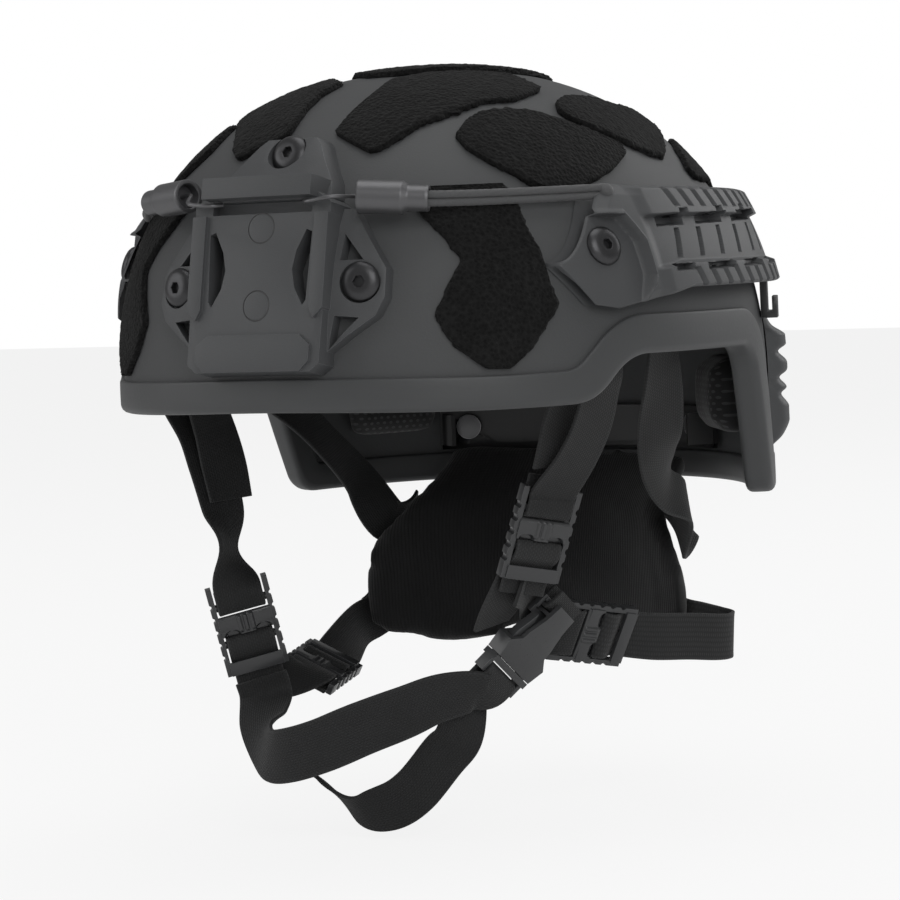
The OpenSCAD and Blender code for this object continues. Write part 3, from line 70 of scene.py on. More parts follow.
bpy.context.scene.camera = camera
bpy.context.scene.view_settings.view_transform = "Standard"


def add(tree, kind, inputs, **settings):
    """Adds one shader node. Each input is a number, a colour or the output of another node."""
    made = tree.nodes.new("ShaderNode" + kind)
    for key, value in settings.items():
        setattr(made, key, value)
    for key, value in inputs.items():
        if isinstance(value, bpy.types.NodeSocket):
            tree.links.new(value, made.inputs[key])
        else:
            made.inputs[key].default_value = value
    return made


def fresh(owner):
    """Empty node tree of a material or of the world."""
    owner.use_nodes = True
    owner.node_tree.nodes.clear()
    return owner.node_tree


def sums(tree):
    """Function that adds one Math node, from its operation and its values, and gives its output."""
    return lambda operation, *values: add(tree, "Math", dict(enumerate(values)),
                                          operation=operation).outputs[0]


def covered(tree, colour, rough, height, strength, depth, more):
    """Ends a material: a height makes relief of a depth in metres under one principled surface."""
    bump = add(tree, "Bump", {"Height": height, "Strength": strength, "Distance": depth})
    skin = add(tree, "BsdfPrincipled", {"Base Color": colour, "Roughness": rough,
                                        "Normal": bump.outputs[0], **more})
    add(tree, "OutputMaterial", {"Surface": skin.outputs[0]})


# The floor is plain and pale, just below the lowest strap. Seen by the camera it is white,
# and the lamps are large and soft, as in a studio.
FLOOR_Z = -181.5
floor_mesh = bpy.data.meshes.new("floor")
floor_mesh.from_pydata([(x * 4.0, y * 4.0, FLOOR_Z * MM) for x, y in ((-1, -1), (1, -1), (1, 1), (-1, 1))],
                       [], [(0, 1, 2, 3)])
floor = bpy.data.objects.new("floor", floor_mesh)
bpy.context.scene.collection.objects.link(floor)
floor_paint = bpy.data.materials.new("floor_paint")
tree = fresh(floor_paint)
seen = add(tree, "LightPath", {})
pale = add(tree, "BsdfDiffuse", {"Color": (0.86, 0.86, 0.86, 1)})
white = add(tree, "Emission", {"Color": (1, 1, 1, 1), "Strength": 1.0})
half = add(tree, "MixShader", {0: 0.86, 1: pale.outputs[0], 2: white.outputs[0]})
both = add(tree, "MixShader", {0: seen.outputs["Is Camera Ray"], 1: pale.outputs[0], 2: half.outputs[0]})
add(tree, "OutputMaterial", {"Surface": both.outputs[0]})
floor_mesh.materials.append(floor_paint)

room = bpy.data.worlds.new("room")
bpy.context.scene.world = room
tree = fresh(room)
seen = add(tree, "LightPath", {})
straight = add(tree, "Math", {0: seen.outputs["Is Camera Ray"], 1: seen.outputs["Is Transmission Ray"]},
               operation="MAXIMUM")
dim = add(tree, "Background", {"Color": (1, 1, 1, 1), "Strength": 0.22})
bright = add(tree, "Background", {"Color": (1, 1, 1, 1), "Strength": 1.0})
both = add(tree, "MixShader", {0: straight.outputs[0], 1: dim.outputs[0], 2: bright.outputs[0]})
add(tree, "OutputWorld", {"Surface": both.outputs[0]})

LAMPS = {  # name: (place in metres, size in metres, watts)
    "left_front": ((1.3, -1.3, 0.9), 1.3, 12.5),
    "right_front": ((-1.3, -1.0, 0.6), 1.2, 6.0),
    "above": ((0.1, 0.1, 1.7), 1.4, 9.5),
    "behind": ((0.7, 1.5, 0.8), 1.2, 7.5),
}
for name, (place, size, watts) in LAMPS.items():
    lamp = bpy.data.objects.new("lamp_" + name, bpy.data.lights.new("lamp_" + name, "AREA"))
    bpy.context.scene.collection.objects.link(lamp)
    lamp.data.size = size
    lamp.data.energy = watts
    aim = np.array(place) / np.linalg.norm(place)
    side_way = np.cross((0, 0, 1), aim)
    side_way = side_way / np.linalg.norm(side_way)
    over = np.cross(aim, side_way)
    lamp.matrix_world = Matrix([[float(side_way[i]), float(over[i]), float(aim[i]), place[i]]
                                for i in range(3)]
                               + [[0, 0, 0, 1]])

# The shell is one moulded piece of layered fabric and resin, 8 mm thick, painted with a fine
# matt paint. It is higher over the ears and lower behind, and its rim line has round corners.
HELMET_L, HELMET_W, CROWN_H = 283.0, 253.0, 133.0
SHELL_D, WALL_D = -2.5, -10.5
REAR_DROP, EAR_RISE, EAR_FRONT, EAR_REAR, RIM_DIP = 50.0, 15.0, 78.0, 33.0, 2.0
PLAN_POWER, ARCH_FRONT, ARCH_REAR = 2.26, 2.39, 2.145
A_LEN, B_WID = HELMET_L / 2, HELMET_W / 2


def arch_power(share):
    """Upright power of the dome: it falls in proportion from the front of the helmet to the back."""
    return ARCH_REAR + (ARCH_FRONT - ARCH_REAR) * (1 - share) / 2


def plan_radius(th):
    """Radius of the plan curve |cos|^p + |sin|^p = r^-p at a plan angle in radians."""
    return (np.abs(np.cos(th)) ** PLAN_POWER + np.abs(np.sin(th)) ** PLAN_POWER) ** (-1 / PLAN_POWER)


def narrowing(z, d, power):
    """Share of the plan that is left at height z: (1 - (z/H)^q)^(1/q), and 1 below the rim."""
    share = np.clip(z, 0, None) / (CROWN_H + d)
    return np.clip(1 - share ** power, 0, 1) ** (1 / power)


def surf(th, z, d):
    """Point of the dome at a plan angle in degrees and a height, d outside the loop panels' face."""
    th, z, d = np.broadcast_arrays(np.radians(th), z, d)
    k = narrowing(z, d, arch_power(np.sin(th))) * plan_radius(th)
    return np.stack([(B_WID + d) * k * np.cos(th), (A_LEN + d) * k * np.sin(th), z], -1)


def dome(th, ph, d):
    """Point of the dome at a plan angle and a rise angle in degrees: a superellipsoid whose upright
    section is |cos|^q + |sin|^q = r^-q, and a straight skirt below the rim."""
    th, ph, d = np.broadcast_arrays(np.radians(th), np.radians(ph), d)
    q = arch_power(np.sin(th))
    up = np.clip(ph, 0, None)
    r = (np.abs(np.cos(up)) ** q + np.abs(np.sin(up)) ** q) ** (-1 / q)
    out = np.cos(up) * r * plan_radius(th)
    z = np.where(ph < 0, (CROWN_H + d) * np.sin(ph), (CROWN_H + d) * np.sin(up) * r)
    return np.stack([(B_WID + d) * out * np.cos(th), (A_LEN + d) * out * np.sin(th), z], -1)


def side_angle(y, z, d):
    """Plan angle in degrees of the left side point with a given y and z."""
    share = np.asarray(y, float) / (A_LEN + d)
    k = narrowing(np.asarray(z, float), d, arch_power(share))
    x = np.clip(k ** PLAN_POWER - np.abs(share) ** PLAN_POWER, 0, None) ** (1 / PLAN_POWER)
    return np.degrees(np.arctan2(share, x))


def side(y, z, d):
    """Point of the left side of the dome with a given y and z."""
    return surf(side_angle(y, z, d), np.asarray(z, float), d)


def unit(v):
    """The vector, or each row of vectors, divided by its length."""
    v = np.asarray(v, float)
    return v / np.maximum(np.linalg.norm(v, axis=-1, keepdims=True), 1e-12)


def rim_line(front_w, rest_w, radii, parts=12, between=14):
    """Rim in y and z: a line through six corners, moved sideways by a width, each inner corner
    replaced by an arc, and points spaced evenly on the arcs and between them."""
    corners = np.array([[-EAR_FRONT - 25, -RIM_DIP], [-EAR_FRONT, -RIM_DIP], [-EAR_FRONT + 18, EAR_RISE],
                        [EAR_REAR, EAR_RISE - 2.5], [EAR_REAR + 22, -REAR_DROP], [EAR_REAR + 60, -REAR_DROP]])
    widths = [front_w, (front_w + rest_w) / 2, rest_w, rest_w, rest_w]
    points = [[corners[0][0], front_w - RIM_DIP]]
    for i in range(1, 5):
        u, v = unit(corners[i] - corners[i - 1]), unit(corners[i + 1] - corners[i])
        nu, nv = np.array([-u[1], u[0]]), np.array([-v[1], v[0]])
        p, q = corners[i - 1] + nu * widths[i - 1], corners[i + 1] + nv * widths[i]
        points.append(p + u * (np.dot(q - p, nv) / np.dot(u, nv)))
    points.append([corners[5][0], rest_w - REAR_DROP])
    points = np.array(points)
    line = []
    for i in range(1, 5):
        u, v = unit(points[i - 1] - points[i]), unit(points[i + 1] - points[i])
        half_turn = math.acos(float(np.dot(u, v))) / 2
        centre = points[i] + unit(u + v) * radii[i - 1] / math.sin(half_turn)
        ends = [points[i] + w * radii[i - 1] / math.tan(half_turn) - centre for w in (u, v)]
        start, stop = (math.atan2(e[1], e[0]) for e in ends)
        turn = (stop - start + math.pi) % (2 * math.pi) - math.pi
        angle = start + turn * np.linspace(0, 1, parts)
        arc = centre + radii[i - 1] * np.stack([np.cos(angle), np.sin(angle)], -1)
        if line:
            gap = np.linspace(0, 1, between)[1:-1, None]
            line.append(line[-1][-1] * (1 - gap) + arc[0] * gap)
        line.append(arc)
    return np.concatenate(line)


def smooth_step(t):
    """3t^2 - 2t^3 between 0 and 1, flat outside."""
    t = np.clip(t, 0, 1)
    return t * t * (3 - 2 * t)


def whole_rim(line, z_front, z_back):
    """Rim all round as plan angle and height: front middle, left side, back middle, right side."""
    th = side_angle(line[:, 0], line[:, 1], SHELL_D)
    front = np.linspace(-90, th[0], 60, endpoint=False)
    back = np.linspace(th[-1], 90, 60)[1:]
    left = np.concatenate([np.stack([front, z_front - RIM_DIP * smooth_step((front + 90) / 50)], -1),
                           np.stack([th, line[:, 1]], -1),
                           np.stack([back, back * 0 + z_back], -1)])
    right = left[-2:0:-1] * [-1, 1] + [180, 0]
    return np.concatenate([left, right])


RIM_LOW = whole_rim(rim_line(0, 0, (20, 24, 16, 11)), 0, -REAR_DROP)
RIM_SHELL = whole_rim(rim_line(3, 3, (18, 26, 18, 9)), 3, 3 - REAR_DROP)
RIM_BAND = whole_rim(rim_line(13, 15.5, (10, 34, 28, 1.5)), 13, 15.5 - REAR_DROP)


def rise_angle(th, z, d):
    """Rise angle in degrees of the dome point with a given plan angle and height."""
    up = np.degrees(np.arctan2(np.clip(z, 0, None) / (CROWN_H + d),
                               narrowing(z, d, arch_power(np.sin(np.radians(th))))))
    return np.where(z > 0, up, np.degrees(np.arcsin(np.clip(z / (CROWN_H + d), -1, 0))))


def surface(name, grid, material, wrap=(False, False), closed=False, uv=None, smooth=60):
    """Makes an object from a grid of points in millimetres. Each cell between lines i and i+1, j and j+1
    is one face, whose outer side is where i crossed with j points. A wrapped direction joins its last
    line to its first, and closed ends are drawn to their middle. uv is in metres on each grid point."""
    grid = np.asarray(grid, float)
    if closed:
        ends = [np.broadcast_to(row.mean(0), row.shape)[None] for row in (grid[0], grid[-1])]
        grid = np.concatenate([ends[0], grid, ends[1]])
        uv = None if uv is None else np.concatenate([uv[:1], uv, uv[-1:]])
    n, m = grid.shape[:2]
    i, j = np.meshgrid(np.arange(n if wrap[0] else n - 1), np.arange(m if wrap[1] else m - 1), indexing="ij")
    i2, j2 = i + 1, j + 1
    quads = np.stack([i * m + j, (i2 % n) * m + j, (i2 % n) * m + j2 % m, i * m + j2 % m], -1).reshape(-1, 4)
    mesh = bpy.data.meshes.new(name)
    mesh.vertices.add(n * m)
    mesh.vertices.foreach_set("co", (grid.reshape(-1) * MM).astype(np.float32))
    mesh.loops.add(quads.size)
    mesh.loops.foreach_set("vertex_index", quads.reshape(-1).astype(np.int32))
    mesh.polygons.add(len(quads))
    mesh.polygons.foreach_set("loop_start", np.arange(0, quads.size, 4, dtype=np.int32))
    mesh.update(calc_edges=True)
    if uv is not None:
        if wrap[1] and uv.shape[1] == m:
            uv = np.concatenate([uv, uv[:, :1]], 1)
        layer = mesh.uv_layers.new(name="UVMap")
        corner = np.stack([uv[i, j], uv[i2, j], uv[i2, j2], uv[i, j2]], -2)
        layer.data.foreach_set("uv", corner.reshape(-1).astype(np.float32))
    work = bmesh.new()
    work.from_mesh(mesh)
    bmesh.ops.remove_doubles(work, verts=work.verts, dist=1e-6)
    bmesh.ops.dissolve_degenerate(work, dist=1e-7, edges=work.edges)
    work.to_mesh(mesh)
    work.free()
    mesh.validate()
    return finished(name, mesh, material, smooth)


def finished(name, mesh, material, smooth=60):
    """Puts a mesh in the scene with its material, smooth except where faces meet more sharply than smooth."""
    mesh.polygons.foreach_set("use_smooth", np.ones(len(mesh.polygons), bool))
    mesh.set_sharp_from_angle(angle=math.radians(smooth))
    piece = bpy.data.objects.new(name, mesh)
    bpy.context.scene.collection.objects.link(piece)
    piece.data.materials.clear()
    piece.data.materials.append(material)
    return piece


def placed(piece, body, node):
    """Hangs a piece on the empty of the body that it rides on, and hides the CAD node that it stands for."""
    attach(piece, body)
    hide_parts(node)


def plain_finish(name, shade, rough, patches, grain, grain_size, relief, sheen=0.0, coat=0.0, metal=0.0):
    """A dull moulded or painted finish: large soft patches of tone, a fine grain in tone, roughness and relief, and
    edges painted a little lighter, partly as a rubbed edge and partly as a painted highlight. Sizes are in metres."""
    made = bpy.data.materials.new(name)
    tree = fresh(made)
    place = add(tree, "TexCoord", {})
    sum_of = sums(tree)
    broad = add(tree, "TexNoise", {"Vector": place.outputs["Object"], "Scale": 28.0,
                                   "Detail": 3.0}).outputs["Fac"]
    fine = add(tree, "TexNoise", {"Vector": place.outputs["Object"], "Scale": 1 / grain_size, "Detail": 4.0,
                                  "Roughness": 0.65}).outputs["Fac"]
    tone = sum_of("MULTIPLY_ADD", broad, 2 * patches, 1 - patches)
    speck = sum_of("MULTIPLY_ADD", fine, 2 * grain, 1 - grain)
    # Faces marked by the attribute are painted lighter: partly a rubbed edge, partly a painted highlight.
    edge_wear_and_highlight = sum_of("MULTIPLY", add(tree, "Attribute", {}, attribute_name="edge_wear_and_highlight").outputs["Fac"], broad)
    level_tone = sum_of("MULTIPLY", sum_of("MULTIPLY_ADD", edge_wear_and_highlight, 4.0, tone), speck)
    paint = add(tree, "VectorMath", {0: tuple(shade), "Scale": level_tone}, operation="SCALE")
    dull = sum_of("MULTIPLY_ADD", fine, 0.16, rough - 0.08)
    covered(tree, paint.outputs[0], dull, fine, 1.0, relief,
            {"Metallic": metal, "Sheen Weight": sheen, "Coat Weight": coat, "Coat Roughness": 0.35})
    return made


shell_paint = plain_finish("matt_paint", (0.066, 0.068, 0.070), 0.60, 0.06, 0.10, 0.0009, 0.00012)


def shell_rows(d, rows):
    """Rows of the shell from the rim to the crown: rise angles spaced evenly on each column."""
    low = rise_angle(RIM_SHELL[:, 0], RIM_SHELL[:, 1], d)
    share = np.linspace(0, 1, rows)[:, None]
    return dome(RIM_SHELL[None, :, 0], low + (90 - low) * share, d)


inner_rows, outer_rows = shell_rows(WALL_D, 40), shell_rows(SHELL_D, 60)
shell = surface("shell_body", np.concatenate([outer_rows[::-1], inner_rows]), shell_paint, wrap=(False, True),
                smooth=40)
placed(shell, "helmet", "shell")

# The edge trim is a rubber channel that is pressed and glued over the shell's edge all round.
# Its outer lip is 13 mm high in front and 15.5 mm elsewhere, with a soft edge at the top.
trim_rubber = plain_finish("edge_rubber", (0.064, 0.066, 0.068), 0.48, 0.05, 0.05, 0.0015, 0.00005,
                           sheen=0.05)
TRIM_SECTION = [  # share of the way from the rim to the band's top (or below the rim), depth of the face
    (1.00, -2.45), (1.0, -1.6), (0.985, -1.05), (0.95, -0.78), (0.9, -0.7), (0.6, -0.68), (0.3, -0.68),
    (0.0, -0.72),
    (-0.3, -0.9), (-0.6, -1.3), (-0.85, -2.1), (-0.97, -3.1), (-1.0, -4.6), (-1.0, -8.4), (-0.97, -9.9),
    (-0.85, -10.9), (-0.6, -11.7), (-0.3, -12.1), (0.0, -12.3), (0.35, -12.3), (0.66, -12.25), (0.72, -12.0),
    (0.745, -11.4), (0.75, -10.7), (0.4, -10.7), (-0.2, -10.3), (-0.2, -2.9), (0.5, -2.9)]
rings = []
for share, depth in TRIM_SECTION:
    line = RIM_SHELL + (RIM_BAND - RIM_SHELL if share >= 0 else RIM_SHELL - RIM_LOW) * share
    rings.append(surf(line[:, 0], line[:, 1], depth))
trim = surface("edge_trim_band", np.array(rings), trim_rubber, wrap=(True, True), smooth=50)
placed(trim, "helmet", "edge_trim")

# Loop panels are die-cut pieces of black loop fabric with an adhesive back. Each lies flat on
# the shell, has small round corners, and its cut edges and its pile stand a little rough.
PANEL_FACE, PANEL_PILE, PANEL_CORNER, PANEL_ROUND = 0.35, 2.3, 3.2, 1.3
pile_cloth = bpy.data.materials.new("loop_pile")
tree = fresh(pile_cloth)
place = add(tree, "TexCoord", {})
sum_of = sums(tree)
curl = add(tree, "TexNoise", {"Vector": place.outputs["Object"], "Scale": 900.0, "Detail": 3.0,
                              "Roughness": 0.7})
tuft = add(tree, "TexVoronoi", {"Vector": place.outputs["Object"], "Scale": 620.0, "Randomness": 1.0})
broad = add(tree, "TexNoise", {"Vector": place.outputs["Object"], "Scale": 60.0, "Detail": 4.0})
mixed = sum_of("ADD", curl.outputs["Fac"], tuft.outputs["Distance"])
# Painted shade: the tone is darker where the pile's relief is low, in its pits.
tone = sum_of("MULTIPLY", sum_of("MULTIPLY_ADD", mixed, 0.011, 0.0015),
              sum_of("MULTIPLY_ADD", broad.outputs["Fac"], 0.9, 0.55))
shade = add(tree, "CombineColor", {0: tone, 1: tone, 2: tone})
covered(tree, shade.outputs[0], 0.95, mixed, 1.0, 0.0007, {"Sheen Weight": 0.04, "Specular IOR Level": 0.12})

PANELS = {  # one edge, then the other edge, as plan angle and rise angle, in matching order
    "front": ([[-45, 36.5], [-43.5, 35], [-42.5, 32], [-42, 29], [-40, 24], [-38.2, 15.4], [-43, 9],
               [-47, 5.8]],
              [[-62, 36.5], [-63, 35], [-60, 31], [-57, 28], [-54, 24], [-59, 15], [-56, 10], [-51, 6]]),
    "top": ([[-83, 49], [-82.5, 51], [-82, 53], [-78, 62], [-76, 68], [-61, 71], [-46, 72], [-34, 71],
             [-20, 69]],
            [[-72, 44], [-70, 44.5], [-67, 46], [-61, 50], [-55, 52], [-49, 54], [-44, 56], [-34, 56.5],
             [-17, 61]]),
    "side": ([[-53, 47], [-50, 50.5], [-46, 53], [-38, 54], [-30, 53], [-22, 49.5], [-14, 46], [-10, 43.8]],
             [[-51, 44], [-47, 41], [-42, 38], [-38, 35.4], [-33, 33.6], [-26, 36], [-18, 38.6],
              [-10.5, 41.8]]),
    "rear_top": ([[-22, 53], [-19, 56], [-12, 58], [-4, 58.4], [4, 58], [12, 56], [20, 55], [28, 54]],
                 [[-21, 51], [-18, 49.5], [-13, 47], [-6, 44], [-1, 42], [5, 40.8], [14, 44.5], [25, 49]]),
    "quarter": ([[14, 38.5], [20, 43], [27, 45.5], [35, 46], [43, 44], [50, 40], [54, 36]],
                [[15, 36.5], [21, 36], [28, 36], [35, 35], [42, 33], [48, 31], [53, 33]]),
}
BACK_PANEL = ([[72, 37], [77, 40.5], [83, 42], [90, 42.5], [97, 42], [103, 40.5], [108, 37]],
              [[76, 18], [80, 14.5], [85, 13], [90, 12.5], [95, 13], [100, 14.5], [104, 18]])
CROWN_PANEL = [[-42, 7], [-35, 15], [-25, 24], [-12, 33], [-2, 36], [8, 38], [21, 38], [34, 36], [43, 32],
               [52, 26], [59, 18], [66, 9]]


def rounded_square(n, m, long_side, short_side, corner):
    """Grid from 0 to 1 both ways on a rectangle with round corners: in each corner cell the square is
    pressed into a quarter disc, (a, b) to (a sqrt(1 - b^2/2), b sqrt(1 - a^2/2)). Lines crowd at the
    edges."""
    def crowd(count):
        t = np.linspace(-1, 1, count)
        return np.sign(t) * (1 - (1 - np.abs(t)) ** 1.8)
    u, v = np.meshgrid(crowd(n) * long_side / 2, crowd(m) * short_side / 2, indexing="ij")
    a, b = (np.clip((np.abs(w) - (side_long / 2 - corner)) / corner, 0, 1)
            for w, side_long in ((u, long_side), (v, short_side)))
    pressed = [np.sign(w) * (np.minimum(np.abs(w), side_long / 2 - corner)
                             + corner * s * np.sqrt(1 - o * o / 2))
               for w, side_long, s, o in ((u, long_side, a, b), (v, short_side, b, a))]
    return pressed[0] / long_side + 0.5, pressed[1] / short_side + 0.5


def loop_panel(name, place, size, seed, mirrored, flip=False):
    """Panel on the shell: place(u, v, d) gives its points; the pile rises from the edge on a quarter
    circle 1.3 mm wide, with an uneven cut edge and an uneven top."""
    draw = np.random.default_rng(seed)
    n, m = [int(max(24, s / 0.75)) for s in size]
    u, v = rounded_square(n, m, size[0], size[1], PANEL_CORNER)
    from_u, from_v = (np.minimum(np.arange(count), np.arange(count)[::-1]) for count in (n, m))
    edge_u = np.minimum(u, 1 - u) * size[0]
    edge_v = np.minimum(v, 1 - v) * size[1]
    inset = np.minimum(edge_u, edge_v)
    ragged = draw.normal(0, 0.16, (n, m))
    ragged = ragged + np.roll(ragged, 1, 0) + np.roll(ragged, 1, 1)
    share = np.clip((inset + 0.02) / PANEL_ROUND, 0, 1)
    rise_up = np.sqrt(1 - (1 - share) ** 2)
    border = np.minimum(from_u[:, None], from_v[None]) == 0
    u = u + np.where(inset < 1.5, ragged / size[0], 0)
    v = v + np.where(inset < 1.5, np.roll(ragged, 5, 1) / size[1], 0)
    depth = SHELL_D + PANEL_FACE + (PANEL_PILE - PANEL_FACE) * rise_up * np.where(border, 0, 1)
    depth = depth + np.where(border, 0, ragged * 0.35)
    front = place(u, v, depth)
    back = place(u, v, SHELL_D + PANEL_FACE - 0.05)
    if mirrored:
        front, back = front * [-1, 1, 1], back * [-1, 1, 1]
    if mirrored != flip:
        front, back = front[::-1], back[::-1]
    grid = np.concatenate([front, back[::-1]])
    piece = surface(name, grid, pile_cloth, wrap=(True, False), smooth=80)
    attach(piece, "helmet")
    return piece


def between_chains(first, second):
    """Place function of a panel: u runs along both chains, and v straight across between them."""
    first, second = np.array(first, float), np.array(second, float)
    index = np.arange(len(first))

    def place(u, v, d):
        t = u * (len(first) - 1)
        a, b = [np.stack([np.interp(t, index, chain[:, k]) for k in (0, 1)], -1) for chain in (first, second)]
        p = a + (b - a) * v[..., None]
        return dome(p[..., 0], p[..., 1], d)
    return place


def chain_size(place):
    """Length and mean width in millimetres of a panel, measured on a coarse grid."""
    u, v = np.meshgrid(np.linspace(0, 1, 20), np.linspace(0, 1, 9), indexing="ij")
    p = place(u, v, SHELL_D + 0 * u)
    return (np.linalg.norm(np.diff(p, axis=0), axis=-1).sum(0).mean(),
            np.linalg.norm(np.diff(p, axis=1), axis=-1).sum(1).mean())


def crown_place(u, v, d):
    """Point of the crown panel: y runs along it and x across it, lifted to the dome's top."""
    chain = np.array(CROWN_PANEL, float)
    t = u * (len(chain) - 1)
    y = np.interp(t, np.arange(len(chain)), chain[:, 0])
    x = np.interp(t, np.arange(len(chain)), chain[:, 1]) * (2 * v - 1)
    a, b = x / (B_WID + d), y / (A_LEN + d)
    k = (np.abs(a) ** PLAN_POWER + np.abs(b) ** PLAN_POWER) ** (1 / PLAN_POWER)
    q = arch_power(b / np.maximum(np.hypot(a, b), 0.001))
    return np.stack([x, y, (CROWN_H + d) * (1 - k ** q) ** (1 / q)], -1)


for number, (name, chains) in enumerate(PANELS.items()):
    place = between_chains(*chains)
    for k, hand in enumerate(("left", "right")):
        panel = loop_panel(f"loop_panel_{name}_{hand}", place, chain_size(place), 10 + 2 * number + k, k == 1)
        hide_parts(f"loop_{name}_{hand}")
place = between_chains(*BACK_PANEL)
panel = loop_panel("loop_panel_back", place, chain_size(place), 40, False)
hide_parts("loop_back")
panel = loop_panel("loop_panel_crown", crown_place, chain_size(crown_place), 41, False, flip=True)
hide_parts("loop_crown")

# The front shroud is a moulded plate of hard nylon that follows the shell and carries a lamp or
# a visor arm on its flat inner plate. Three screws hold it. Its edges are broken by the mould.
hard_nylon = plain_finish("moulded_nylon", (0.070, 0.072, 0.075), 0.50, 0.05, 0.08, 0.0006, 0.00008)


def dressed(name, node, material, bevel, body, parts=2, angle=30):
    """Copy of a CAD solid for its looks: its loose triangles are joined, flat faces are made one, and every edge
    sharper than an angle is rounded by a bevel of a width in millimetres. The bevel's faces carry an attribute that
    paints them lighter, partly as a rubbed edge and partly as a painted highlight."""
    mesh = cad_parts[node].data.copy()
    mesh.name = name
    work = bmesh.new()
    work.from_mesh(mesh)
    bmesh.ops.remove_doubles(work, verts=work.verts, dist=2e-6)
    bmesh.ops.dissolve_limit(work, angle_limit=math.radians(1.2), verts=work.verts, edges=work.edges)
    edge_wear_and_highlight = work.faces.layers.float.new("edge_wear_and_highlight")
    sharp = [e for e in work.edges if len(e.link_faces) == 2 and e.calc_face_angle(0) > math.radians(angle)]
    rounded = bmesh.ops.bevel(work, geom=sharp, offset=bevel * MM, segments=parts, profile=0.6,
                              affect="EDGES",
                              clamp_overlap=True, loop_slide=True)
    # Bevel faces are marked to be painted lighter: partly a rubbed edge, partly a painted highlight.
    for face in rounded["faces"]:
        face[edge_wear_and_highlight] = 1.0
    bmesh.ops.triangulate(work, faces=[f for f in work.faces if len(f.verts) > 4])
    work.to_mesh(mesh)
    work.free()
    mesh.validate()
    piece = finished(name, mesh, material, 28)
    placed(piece, body, node)
    return piece


dressed("shroud_plate", "front_shroud", hard_nylon, 0.45, "helmet")

# The side rails are long mouldings of the same nylon, screwed on in front. Each has two ribbed
# bands with a lower band of slots between them, and a six-sided recess round its screw.
RAIL_T, RAIL_TOP, RAIL_LOW, RAIL_REAR, RAIL_TIP = 10.0, 79.0, 37.0, 78.0, 88.0
RAIL_GAP = 0.5
RAIL_SCREW = (-66.0, 55.0)


def rail_edges(y):
    """Heights of the rail's upper and lower edge along y, as joined straight and smooth stretches."""
    nose = 51.5 + (RAIL_TOP + 2 - 51.5) * smooth_step((y + RAIL_TIP) / (RAIL_TIP - 58) * 0.82 + 0.02) * 1.05
    high = np.where(y < -58, nose, np.where(y < -40, RAIL_TOP + 2 - (y + 58) * 0.11,
                                            RAIL_TOP - 4 * (y + 40) / (RAIL_REAR + 40)))
    low = np.where(y < -78, 50.5 + (RAIL_LOW - 2 - 50.5) * (y + RAIL_TIP) / (RAIL_TIP - 78),
                   np.where(y < -68, RAIL_LOW - 2 - (y + 78) * 0.2,
                            np.where(y < -30, RAIL_LOW - 4 + 6 * (y + 68) / 38,
                                     RAIL_LOW + 2 - 2 * (y + 30) / (RAIL_REAR + 30))))
    return high, low


def ramp(distance, width=0.5):
    """1 inside an outline and 0 outside it, over a short slope; distance is positive inside."""
    return np.clip(distance / width + 0.5, 0, 1)


def in_polygon(y, z, corners):
    """Signed distance in millimetres to the nearest side line of a convex outline, positive inside."""
    corners = np.array(corners, float)
    middle = corners.mean(0)
    nearest = np.full(np.shape(y), 1e9)
    for a, b in zip(corners, np.roll(corners, -1, 0)):
        across = unit(np.array([b[1] - a[1], a[0] - b[0]]))
        across = across * np.sign(np.dot(across, middle - a))
        nearest = np.minimum(nearest, (y - a[0]) * across[0] + (z - a[1]) * across[1])
    return nearest


def bar(y, z, centre, half_y, half_z, slant=0.0):
    """Signed distance into a slanted bar: |y - slant (z - zc)| within half_y and |z - zc| within half_z."""
    dz = z - centre[1]
    return np.minimum(half_y - np.abs(y - centre[0] - slant * dz), half_z - np.abs(dz))


